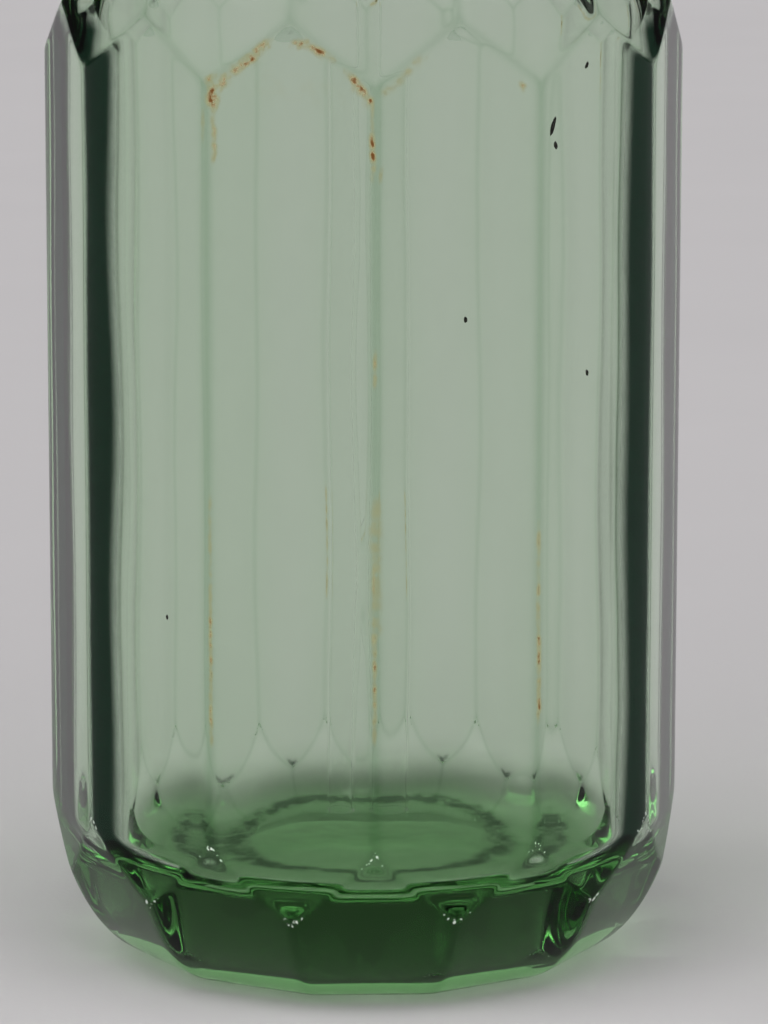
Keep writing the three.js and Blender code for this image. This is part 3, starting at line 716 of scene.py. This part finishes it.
# The lever: its arm's corners, its handle's route, half sizes and their change by the end, and where
# the grip's grooves lie along it, how many would fill it and how deep.
ARM_LOW = (0, -2.4, 268.7)
ARM_HIGH = (PIVOT[0], 2.4, 271.3)
LEVER_ROUTE = (
    (12.3, 270), (24, 272.6), (36, 269.6), (45.6, 259.6), (50.9, 246), (53.4, 236), (56.1, 229.2),
)
HANDLE_HALF_HEIGHT = 3.3
HANDLE_HALF_WIDTH = 3
HANDLE_THINNING = 1.25
HANDLE_WIDENING = 3.5
GRIP = (0.5, 0.54, 0.88, 0.91)
GROOVES = 30
GROOVE_DEPTH = 0.3

# The spout: its route, its radius at the root, its taper, the bead at its mouth, and the way in it.
SPOUT_ROUTE = ((-21.2, PORT_HEIGHT), ((-36, 240), (-52, 251)), (-52, 224.1))
SPOUT_ROOT_RADIUS = 6.2
SPOUT_TAPER = 2.0
SPOUT_BEAD = 0.85
WAY_END = (-52, 222.6)
WAY_RADIUS = 1.9
WAY_FLARE = 0.9

# The cap, with the heights at which its flutes start, are full, start to fade and end.
CAP_RADIUS = 16.6
CAP_BAND = (279.2, 279.9, 283.6, 284.2)
FLUTES = 48
FLUTE_DEPTH = 0.45
FLUTE_LEAST_RADIUS = 15

COLLAR_OUTLINE = (
    (17.65, 199), (24.2, 199), (24.2, 203.4), (20.4, 203.4), (20.4, 210.6), (17.65, 210.6),
)
COLLAR_HALF_GAP = 0.15
COLLAR_GAP_RADIUS = 21
COLLAR_RIDGES = 24
COLLAR_RIDGE_DEPTH = 0.8


def head_outline():
    bead = curved((SKIRT_RADIUS, SKIRT_FOOT), ((25.1, 205), (25.1, 206.2)), (SKIRT_RADIUS, 207.4), 12)
    shoulder_pulls = ((SKIRT_RADIUS, 229), (WAIST_RADIUS, 229))
    shoulder = curved((SKIRT_RADIUS, 218), shoulder_pulls, (WAIST_RADIUS, 240), 24)
    flare_pulls = ((WAIST_RADIUS, 250), (DRUM_RADIUS, 250))
    flare = curved((WAIST_RADIUS, 244), flare_pulls, (DRUM_RADIUS, 256), 14)
    top = [(DRUM_RADIUS, 276.4), (15.5, 277.5), (NECK_THREAD_RADIUS, 277.5)]
    top += [(NECK_THREAD_RADIUS, NECK_TOP), (0, NECK_TOP)]
    outline = evenly(np.array([(0, SKIRT_FOOT), *bead, *shoulder, *flare, *top]), 640)
    for height in TURNED_LINES:
        line = LINE_DEPTH * bell(outline[:, 1] - height, LINE_WIDTH)
        outline[:, 0] -= line * (outline[:, 0] > LINE_LEAST_RADIUS)
    outline[[0, -1], 0] = 0
    return outline


def head_body(material):
    corners = bored(0, HOUSING_REACH, HOUSING_FOOT, HOUSING_TOP)
    slot_low = (0, -SLOT_HALF_WIDTH, HOUSING_FOOT - 1)
    slot_high = (HOUSING_REACH + 1, SLOT_HALF_WIDTH, HOUSING_TOP + 0.25)
    joined = [
        turned("head_outside", head_outline(), 160),
        bar("boss", *BOSS, "X", PORT_PLACE),
        prism("housing", rounded(corners, HOUSING_CORNER), HOUSING_HALF_WIDTH),
    ]
    cut = [
        turned("head_inside", HEAD_INSIDE, 120),
        block("slot", slot_low, slot_high),
        bar("pin_hole", *PIN_HOLE, "Y", PIVOT),
        bar("pin_seat_front", *PIN_SEAT_FRONT, "Y", PIVOT),
        bar("pin_seat_back", *PIN_SEAT_BACK, "Y", PIVOT),
        bar("socket", *SPOUT_SOCKET, "X", PORT_PLACE),
        bar("port", *PORT, "X", PORT_PLACE),
    ]
    finished(cast("siphon_head", joined, cut, 0.5, 6), material, "head_body")


def lever_section(share):
    """The handle's section: narrow at the hinge, a broad pad with finger grooves at the end."""
    spread = smooth_step(share, 0.24, 1)
    end = np.clip((share - 0.93) / 0.07, 0, 1)
    draw = max((1 - end ** 2.4) ** (1 / 2.4), 0.2)
    half_height = (HANDLE_HALF_HEIGHT - HANDLE_THINNING * spread) * draw
    half_width = (HANDLE_HALF_WIDTH + HANDLE_WIDENING * spread) * draw
    offsets = oval(half_height, half_width, 48, 2.5)
    on_grip = between(share, *GRIP)
    groove = 0.5 - 0.5 * math.cos(2 * math.pi * share * GROOVES)
    top = offsets[:, 0] > 0
    offsets[top, 0] *= 1 - GROOVE_DEPTH * on_grip * groove
    return offsets


def lever(material):
    joined = [
        swept("handle", through(LEVER_ROUTE, 150), lever_section),
        bar("hub", *LEVER_HUB, "Y", PIVOT),
        block("arm", ARM_LOW, ARM_HIGH),
        bar("arm_tip", *ARM_TIP, "Y", (0, 0, PIVOT[2])),
    ]
    cut = [bar("lever_bore", *LEVER_BORE, "Y", PIVOT)]
    finished(cast("hand_lever", joined, cut, 0.32, 4), material, "lever", "lever")


def pipe_section(share):
    bead = SPOUT_BEAD * smooth_step(share, 0.89, 0.93)
    radius = SPOUT_ROOT_RADIUS - SPOUT_TAPER * smooth_step(share, 0, 0.86) + bead
    return oval(radius, radius)


def way_section(share):
    radius = WAY_RADIUS + WAY_FLARE * smooth_step(share, 0.9, 1)
    return oval(radius, radius)


def spout(material):
    path = evenly(curved(*SPOUT_ROUTE, 300), 90)
    way = np.concatenate([path, [WAY_END]])
    joined = [
        swept("pipe", path, pipe_section),
        bar("flange", *SPOUT_FLANGE, "X", PORT_PLACE),
        bar("spigot", *SPOUT_SPIGOT, "X", PORT_PLACE),
    ]
    cut = [
        swept("spout_way", way, way_section),
        bar("spout_inlet", *SPOUT_INLET, "X", PORT_PLACE),
    ]
    finished(cast("pouring_spout", joined, cut, 0.36, 5), material, "spout")


def cap_flutes(angles, radius, height):
    """The knurled band of the cap."""
    band = between(height, *CAP_BAND) * (radius > FLUTE_LEAST_RADIUS)
    return radius - FLUTE_DEPTH * band * (0.5 + 0.5 * np.cos(FLUTES * angles)) ** 1.5


def top_cap(material):
    band = [(CAP_RADIUS, z) for z in np.arange(CAP_BAND[0], 284.4, 0.25)]
    dome = curved((16.45, 285.9), ((16.5, 291.5), (10, 294.6)), (4, 295.6), 40)
    knob = curved((3.2, 296.6), ((6.6, 298.2), (5.4, 302.4)), (0, 302.4), 30)
    outline = [(0, 289.4), (8.3, 289.4), (8.3, 284.4), (12.8, 284.4), (12.8, 278.8), (CAP_RADIUS, 278.8)]
    outline += [*band, (CAP_RADIUS, 284.5), (16.0, 285.0), (16.0, 285.4), *dome, *knob]
    piece = turned("cap_with_knob", rounded(outline, 0.5, closed=False), 288, flutes=cap_flutes)
    finished(piece, material, "top_cap")


def collar_half(name, node, first_angle, material):
    """Half of the split ring, with grip ridges round its flange."""
    gap = math.asin(COLLAR_HALF_GAP / COLLAR_GAP_RADIUS)
    angles = np.linspace(first_angle + gap, first_angle + math.pi - gap, 170)
    profile = rounded(COLLAR_OUTLINE, 0.7)
    count = len(profile)
    vertices = []
    for angle in angles:
        ridge = COLLAR_RIDGE_DEPTH * (0.5 - 0.5 * math.cos(COLLAR_RIDGES * angle))
        radius = profile[:, 0] - ridge * smooth_step(profile[:, 0], 21, 23.4)
        vertices += list(ring_points(np.full(count, angle), radius, profile[:, 1]))
    faces = [tuple(range(count)), tuple(reversed(range(len(vertices) - count, len(vertices))))]
    for i in range(len(angles) - 1):
        faces += row_faces(i * count, count)
    finished(mesh_object(name, vertices, faces), material, node)


def lever_pin(material):
    half = [(0, 10.7), (1.3, 10.62), (2.3, 10.3), (2.8, 9.85), (2.9, 9.35), (1.8, 9.35), (1.8, 5)]
    outline = [(r, -y) for r, y in half] + [(1.8, 0)] + half[::-1]
    finished(turned("hinge_pin", outline, 48, "Y", PIVOT), material, "lever_pin")


def piston_spring(material):
    """A coil of wire that lies flat for a third of a turn or so at both ends."""
    wire, mean_radius, turns, foot, top = 0.7, 5.3, 4, 275.9, 288.1
    flat_turn = 0.35
    steps, sides = 48 * turns, 14
    section = full_turn(sides)
    rings = []
    for i in range(steps + 1):
        angle = 2 * math.pi * turns * i / steps
        rise = np.clip((angle / (2 * math.pi) - flat_turn) / (turns - 2 * flat_turn), 0, 1)
        height = foot + wire + (top - foot - 2 * wire) * rise
        radius = mean_radius + wire * np.sin(section)
        x, y = radius * math.cos(angle), radius * math.sin(angle)
        rings.append(np.stack([x, y, height + wire * np.cos(section)], axis=1))
    piece = ended_skin("coil_spring", rings)
    finished(piece, material, "piston_spring")
    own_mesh(piece)


def dip_tube(material):
    outline = rounded(bored(2.4, 3.0, 22, 217.6), 0.25)
    finished(turned("clear_tube", outline, 48), material, "dip_tube")


def rings_and_bushes(brass, rubber, fibre, leather):
    """The turned pieces inside the head, with their edges broken."""
    holder = [(6.3, 208), (8.2, 208), (8.2, 218.8), (9.9, 218.8), (9.9, 221.9), (7.9, 221.9), (7.9, 231.2)]
    holder += [(5.6, 231.2), (5.6, 233.2), (4.2, 234), (2.6, 234), (2.6, 218), (6.3, 218)]
    gland = [(3.4, 255.7), (7, 255.7), (7, 262.7), (8.8, 262.7), (8.8, 264.6), (3.4, 264.6)]
    pieces = (
        ("holder_bush", "tube_holder", holder, brass, "brass"),
        ("gland_bush", "gland_nut", gland, brass, "brass"),
        ("box_washer", "packing_washer", bored(3.3, 7.1, 248.7, 249.9), brass, "brass"),
        ("top_washer", "spring_washer", bored(3.2, 7.9, 288.2, 289.2), brass, "brass"),
        ("lip_ring", "neck_gasket", bored(11, 18, 221.1, 223.4), rubber, "rubber"),
        ("tube_sleeve", "tube_grommet", bored(3.12, 6.18, 210.1, 217.8), rubber, "rubber"),
        ("cap_ring", "cap_gasket", bored(12.7, 15.9, 277.6, 278.7), fibre, "fibre"),
        ("seat_ring", "seat_gasket", bored(8.1, 9.9, 222, 223.4), fibre, "fibre"),
        ("stem_packing", "piston_packing", bored(3.1, 7.1, 250, 255.6), leather, "leather"),
    )
    for name, node, outline, material, slot in pieces:
        finished(turned(name, rounded(outline, 0.3), 80), material, node)
    spout_outline = rounded(bored(5.4, 7.8, -19.9, -19.1), 0.25)
    finished(turned("spout_ring", spout_outline, 80, "X", PORT_PLACE), fibre, "spout_gasket")


def carried(material, *nodes):
    """Solids that stay as they are, under a finish of their own."""
    for node in nodes:
        dressed(frame["nodes"][node], material)


# Materials

GLASS_IOR = 1.52
GLASS_ABSORPTION = (17.5, 6.5, 19.0)  # per metre, red, green and blue
GLASS_FILM = (0.9, 0.938, 0.893)
GLASS_GLOSS = (0.08, 0.08, 0.08)  # the weathered skin mirrors less than fresh glass does
# Painted dark reflection: the colour of the dark mirror on the inner wall at a slant.
PAINTED_DARK_MIRROR = (0.015, 0.045, 0.03)
# Painted shade along the ridges, seams and creases.
RIDGE_SHADE_GREEN = (0.54, 0.68, 0.55)
RUST_FILM = (0.84, 0.62, 0.26)
RUST_CRUST = (0.2, 0.075, 0.018)
CHIP_PALE = (0.84, 0.87, 0.82)
# Residue on the inner floor, and the darker patches in the heel's V.
DARK_MARK = (0.09, 0.11, 0.1)
STONE_BLACK = (0.006, 0.006, 0.005)
STONE_BROWN = (0.05, 0.04, 0.03)

# How far from square on, 0 to 1, the painted dark reflection on the inner wall starts and is full,
# and then how far it is clear again and starts to clear.
DARK_EDGE = (0.2, 0.285)
CLEAR_EDGE = (0.47, 0.40)

TUBE_IOR = 1.02  # the thin clear tube hardly bends the light
TUBE_CLEAR = (1.0, 1.0, 1.0)
TUBE_HAZE = (0.97, 0.98, 0.97)

TIN_GREY = (0.33, 0.32, 0.29)
TIN_PALE = (0.47, 0.455, 0.42)
TIN_TARNISH = (0.17, 0.155, 0.13)
TIN_RUBBED = (0.64, 0.62, 0.58)

# Turned metals: bright and dull colours, least roughness.
BRASS = ((0.58, 0.4, 0.15), (0.24, 0.15, 0.06), 0.3)
STEEL = ((0.5, 0.5, 0.48), (0.3, 0.29, 0.27), 0.25)

# Soft stuffs: dark and light colours, least roughness, lumps in a metre, depth of grain.
RUBBER = ((0.018, 0.017, 0.016), (0.045, 0.042, 0.04), 0.65, 120, 0.04)
FIBRE = ((0.15, 0.04, 0.025), (0.26, 0.085, 0.05), 0.7, 260, 0.05)
LEATHER = ((0.11, 0.05, 0.025), (0.2, 0.105, 0.055), 0.6, 210, 0.08)


def new_material(name, roughness=0.5, metallic=0.0):
    material = bpy.data.materials.new(name)
    material.use_nodes = True
    shader = material.node_tree.nodes["Principled BSDF"]
    shader.inputs["Roughness"].default_value = roughness
    shader.inputs["Metallic"].default_value = metallic
    return material, material.node_tree, shader


def feed(tree, value, socket):
    """Links a socket, or sets its number or colour."""
    if isinstance(value, bpy.types.NodeSocket):
        tree.links.new(value, socket)
    elif isinstance(value, tuple):
        socket.default_value = (*value, 1)
    else:
        socket.default_value = value


def noise(tree, scale, detail, stretch=(1, 1, 1)):
    """Noise in the piece's own metres, so scale counts its lumps in a metre."""
    place = tree.nodes.new("ShaderNodeTexCoord")
    mapping = tree.nodes.new("ShaderNodeMapping")
    mapping.inputs["Scale"].default_value = stretch
    texture = tree.nodes.new("ShaderNodeTexNoise")
    texture.inputs["Scale"].default_value = scale
    texture.inputs["Detail"].default_value = detail
    tree.links.new(place.outputs["Object"], mapping.inputs["Vector"])
    tree.links.new(mapping.outputs["Vector"], texture.inputs["Vector"])
    return texture.outputs[0]


def mesh_mark(tree, name):
    """A value that the mesh carries, for its wear and stains and for the painted shade."""
    node = tree.nodes.new("ShaderNodeAttribute")
    node.attribute_name = name
    return node.outputs["Fac"]


def calc(tree, operation, first, second):
    node = tree.nodes.new("ShaderNodeMath")
    node.operation = operation
    feed(tree, first, node.inputs[0])
    feed(tree, second, node.inputs[1])
    return node.outputs[0]


def product(tree, first, second):
    return calc(tree, "MULTIPLY", first, second)


def ranged(tree, value, low, high, start=0.0, end=1.0):
    """A value eased from one range to another."""
    node = tree.nodes.new("ShaderNodeMapRange")
    node.interpolation_type = "SMOOTHSTEP"
    for name, number in (("From Min", low), ("From Max", high), ("To Min", start), ("To Max", end)):
        node.inputs[name].default_value = number
    feed(tree, value, node.inputs["Value"])
    return node.outputs["Result"]


def mixed(tree, share, first, second):
    node = tree.nodes.new("ShaderNodeMix")
    node.data_type = "RGBA"
    feed(tree, share, node.inputs[0])
    feed(tree, first, node.inputs[6])
    feed(tree, second, node.inputs[7])
    return node.outputs[2]


def bumped(tree, shader, height, depth):
    """Relief of that depth in millimetres."""
    node = tree.nodes.new("ShaderNodeBump")
    node.inputs["Strength"].default_value = 1
    node.inputs["Distance"].default_value = depth * MM
    tree.links.new(height, node.inputs["Height"])
    tree.links.new(node.outputs["Normal"], shader.inputs["Normal"])


def coloured(tree, shader, colour, roughness=None):
    """Links a colour, and a roughness where it changes over the piece."""
    tree.links.new(colour, shader.inputs["Base Color"])
    if roughness:
        tree.links.new(roughness, shader.inputs["Roughness"])


def rust_layers(tree):
    """The rust's thin yellow film, and its brown crust."""
    grain = noise(tree, 620, 5)
    rust = product(tree, mesh_mark(tree, "rust"), ranged(tree, grain, 0.25, 0.75, 0.4, 1.5))
    return ranged(tree, rust, 0.08, 0.5), ranged(tree, rust, 0.45, 0.8)


def chips(tree):
    speckle = noise(tree, 1700, 3)
    return ranged(tree, calc(tree, "ADD", product(tree, mesh_mark(tree, "chip"), 0.6), speckle), 1.08, 1.16)


def residue_and_heel_v_dark(tree):
    """Residue on the inner floor, and darker patches at the foot of each V of the heel's zigzag."""
    smear = noise(tree, 260, 4)
    residue = product(tree, mesh_mark(tree, "residue"), ranged(tree, smear, 0.25, 0.7, 0.35, 1.0))
    heel_v_dark = product(tree, mesh_mark(tree, "heel_v_dark"), ranged(tree, smear, 0.25, 0.6, 0.6, 1.2))
    return calc(tree, "MAXIMUM", ranged(tree, residue, 0.05, 0.8), ranged(tree, heel_v_dark, 0.2, 0.8))


def painted_dark_reflection(tree):
    """Painted dark reflection where the inner wall is met at a slant from within: a dark mirror there
    stands in for the dark room that thick glass mirrors.
    """
    geometry = tree.nodes.new("ShaderNodeNewGeometry")
    slant = tree.nodes.new("ShaderNodeLayerWeight").outputs["Facing"]
    within = product(tree, geometry.outputs["Backfacing"], mesh_mark(tree, "inside"))
    band = product(tree, ranged(tree, slant, *DARK_EDGE), ranged(tree, slant, *CLEAR_EDGE))
    return product(tree, within, band)


def absorbing(tree, absorption):
    """Fills a piece with what takes up so much red, green and blue light in a metre."""
    volume = tree.nodes.new("ShaderNodeVolumeAbsorption")
    density = max(absorption)
    volume.inputs["Color"].default_value = (*[1 - a / density for a in absorption], 1)
    volume.inputs["Density"].default_value = density
    tree.links.new(volume.outputs["Volume"], tree.nodes["Material Output"].inputs["Volume"])


def glass_material():
    """Pale green glass, with its wear and stains over it, painted shade along its edges, and a painted
    dark reflection inside.
    """
    material, tree, shader = new_material("bottle_glass")
    film, crust = rust_layers(tree)
    chip = chips(tree)
    rim = painted_dark_reflection(tree)
    opaque = calc(tree, "MAXIMUM", product(tree, crust, 0.8), product(tree, chip, 0.8))
    dull = calc(tree, "MAXIMUM", product(tree, film, 0.22), product(tree, opaque, 0.7))
    # Painted shade: darker green along the ridges, seams and creases.
    colour = mixed(tree, mesh_mark(tree, "ridge"), GLASS_FILM, RIDGE_SHADE_GREEN)
    colour = mixed(tree, product(tree, film, 0.8), colour, RUST_FILM)
    colour = mixed(tree, crust, colour, RUST_CRUST)
    colour = mixed(tree, chip, colour, CHIP_PALE)
    colour = mixed(tree, residue_and_heel_v_dark(tree), colour, DARK_MARK)
    # Painted dark reflection: the inner wall at a slant turns into a dark mirror.
    colour = mixed(tree, rim, colour, PAINTED_DARK_MIRROR)
    coloured(tree, shader, colour, dull)
    tree.links.new(rim, shader.inputs["Metallic"])
    tree.links.new(calc(tree, "SUBTRACT", 1.0, opaque), shader.inputs["Transmission Weight"])
    bumped(tree, shader, noise(tree, 75, 2, (1, 1, 0.35)), 0.05)
    shader.inputs["IOR"].default_value = GLASS_IOR
    shader.inputs["Specular Tint"].default_value = (*GLASS_GLOSS, 1)
    absorbing(tree, GLASS_ABSORPTION)
    return material


def stone_material():
    material, tree, shader = new_material("glass_stone", 0.6)
    lumps = noise(tree, 2600, 3)
    coloured(tree, shader, mixed(tree, lumps, STONE_BLACK, STONE_BROWN))
    bumped(tree, shader, lumps, 0.05)
    return material


def tube_material():
    material, tree, shader = new_material("tube_glass", 0.0)
    haze = noise(tree, 90, 3, (1, 1, 0.2))
    colour = mixed(tree, haze, TUBE_CLEAR, TUBE_HAZE)
    coloured(tree, shader, colour, ranged(tree, haze, 0.5, 0.8, 0.0, 0.06))
    shader.inputs["Transmission Weight"].default_value = 1
    shader.inputs["IOR"].default_value = TUBE_IOR
    return material


def cast_material():
    """Old tin alloy: grey, spotted with tarnish, paler where its edges are rubbed."""
    material, tree, shader = new_material("cast_metal", metallic=1.0)
    broad, spots, grain = noise(tree, 48, 5), noise(tree, 215, 7), noise(tree, 1500, 4)
    edges = tree.nodes.new("ShaderNodeNewGeometry").outputs["Pointiness"]
    rubbed = ranged(tree, calc(tree, "ADD", edges, product(tree, spots, 0.03)), 0.525, 0.585)
    tarnish = ranged(tree, spots, 0.48, 0.78, 0.0, 0.7)
    colour = mixed(tree, ranged(tree, broad, 0.3, 0.7), TIN_GREY, TIN_PALE)
    colour = mixed(tree, tarnish, colour, TIN_TARNISH)
    colour = mixed(tree, rubbed, colour, TIN_RUBBED)
    rough = calc(tree, "ADD", ranged(tree, broad, 0.3, 0.7, 0.27, 0.4), product(tree, tarnish, 0.18))
    coloured(tree, shader, colour, calc(tree, "SUBTRACT", rough, product(tree, rubbed, 0.08)))
    relief = calc(tree, "ADD", product(tree, grain, 0.3), product(tree, spots, 0.7))
    bumped(tree, shader, relief, 0.07)
    return material


def turned_metal(name, bright, dull, roughness):
    """Metal with the fine rings of the lathe and patches of tarnish."""
    material, tree, shader = new_material(name, metallic=1.0)
    patches = noise(tree, 170, 5)
    rings = noise(tree, 2400, 2, (0.03, 0.03, 1))
    colour = mixed(tree, ranged(tree, patches, 0.4, 0.7), bright, dull)
    coloured(tree, shader, colour, ranged(tree, patches, 0.3, 0.75, roughness, roughness + 0.2))
    bumped(tree, shader, rings, 0.03)
    return material


def plain_stuff(name, dark, light, roughness, scale, depth):
    """Rubber, fibre or leather: mottled and grained at its own scale."""
    material, tree, shader = new_material(name)
    mottle, grain = noise(tree, scale, 5), noise(tree, 6 * scale, 4)
    colour = mixed(tree, ranged(tree, mottle, 0.3, 0.7), dark, light)
    coloured(tree, shader, colour, ranged(tree, mottle, 0.3, 0.7, roughness, roughness + 0.15))
    bumped(tree, shader, grain, depth)
    return material


# Stage

FLOOR_RADIUS = 6000.0
FLOOR_DROP = 0.2
FLOOR_PALE = (0.56, 0.54, 0.55)
FLOOR_SHADE = tuple(0.95 * c for c in FLOOR_PALE)

# The surroundings, by parts of a direction: the backdrop's ends, height and soft edge, where the room
# turns from front to back, and the ceiling's edge.
WORLD_PALE = (0.45, 0.45, 0.45)
WORLD_FRONT = (0.3, 0.3, 0.3)
WORLD_BACK = (0.06, 0.06, 0.06)
WORLD_TOP = (0.2, 0.2, 0.2)
BACKDROP_SIDES = (0.85, 0.97)
BACKDROP_RISE = 0.1
HORIZON_BLUR = 0.03
ROOM_TURN = (-0.4, 0.3)
CEILING_EDGE = (0.6, 0.9)

# Soft windows: name, azimuth, elevation, width in degrees, strength.
LAMPS = (
    ("window_left", -46, 50, 60, 1.85),
    ("window_right", 40, 50, 60, 1.3),
)


def floor():
    """A pale paper floor, a little mottled."""
    bpy.ops.mesh.primitive_circle_add(
        vertices=96, radius=FLOOR_RADIUS * MM, fill_type="NGON", location=(0, 0, -FLOOR_DROP * MM))
    piece = bpy.context.object
    piece.name = "floor"
    material, tree, shader = new_material("floor_paper", 0.9)
    coloured(tree, shader, mixed(tree, noise(tree, 14, 4), FLOOR_PALE, FLOOR_SHADE))
    bumped(tree, shader, noise(tree, 900, 3), 0.03)
    dressed(piece, material)


def world():
    """Pale up to the horizon and a low backdrop, then a room, brighter in front, and a soft ceiling."""
    studio = bpy.data.worlds.new("studio")
    studio.use_nodes = True
    tree = studio.node_tree
    place = tree.nodes.new("ShaderNodeTexCoord")
    split = tree.nodes.new("ShaderNodeSeparateXYZ")
    tree.links.new(place.outputs["Generated"], split.inputs["Vector"])
    back, rise = split.outputs["Y"], split.outputs["Z"]
    backdrop = ranged(tree, back, *BACKDROP_SIDES, 0.0, BACKDROP_RISE)
    room = mixed(tree, ranged(tree, back, *ROOM_TURN), WORLD_FRONT, WORLD_BACK)
    horizon = ranged(tree, calc(tree, "SUBTRACT", rise, backdrop), -HORIZON_BLUR, HORIZON_BLUR)
    colour = mixed(tree, horizon, WORLD_PALE, room)
    colour = mixed(tree, ranged(tree, rise, *CEILING_EDGE), colour, WORLD_TOP)
    tree.links.new(colour, tree.nodes["Background"].inputs["Color"])
    bpy.context.scene.world = studio


def direction(azimuth, elevation):
    """The way to something seen at that azimuth and elevation, in degrees."""
    a, e = math.radians(azimuth), math.radians(elevation)
    return Vector((math.sin(a) * math.cos(e), -math.cos(a) * math.cos(e), math.sin(e)))


def lamps():
    for name, azimuth, elevation, width, strength in LAMPS:
        data = bpy.data.lights.new(name, "SUN")
        data.angle = math.radians(width)
        data.energy = strength
        lamp = placed(name, data)
        lamp.rotation_euler = direction(azimuth, elevation).to_track_quat("Z", "Y").to_euler()


def camera():
    data = bpy.data.cameras.new("camera")
    data.lens = CAMERA_LENS
    data.shift_x = CAMERA_SHIFT_X
    data.clip_start = CAMERA_NEAR * MM
    eye = placed("camera", data)
    away = direction(CAMERA_AZIMUTH, CAMERA_ELEVATION)
    eye.location = (Vector((0, 0, CAMERA_TARGET_HEIGHT)) + away * CAMERA_DISTANCE) * MM
    eye.rotation_euler = (-away).to_track_quat("-Z", "Y").to_euler()
    bpy.context.scene.camera = eye


def render_settings():
    """Light crosses many faces of the thick glass, and its mirror images stay sharp."""
    scene = bpy.context.scene
    scene.view_settings.view_transform = "Standard"
    scene.cycles.max_bounces = 32
    scene.cycles.transmission_bounces = 24
    scene.cycles.glossy_bounces = 16
    scene.cycles.blur_glossy = 0


def build():
    render_settings()
    camera()
    floor()
    world()
    lamps()
    glass_bottle()
    glass_stones()
    metal = cast_material()
    brass = turned_metal("brass", *BRASS)
    steel = turned_metal("spring_wire", *STEEL)
    rubber = plain_stuff("rubber", *RUBBER)
    fibre = plain_stuff("fibre", *FIBRE)
    leather = plain_stuff("leather", *LEATHER)
    head_body(metal)
    lever(metal)
    spout(metal)
    top_cap(metal)
    collar_half("collar_front", "collar_half_front", -math.pi, metal)
    collar_half("collar_back", "collar_half_back", 0, metal)
    lever_pin(brass)
    piston_spring(steel)
    dip_tube(tube_material())
    rings_and_bushes(brass, rubber, fibre, leather)
    carried(brass, "tube_nut", "piston", "valve_screw")
    carried(rubber, "valve_disc")


build()
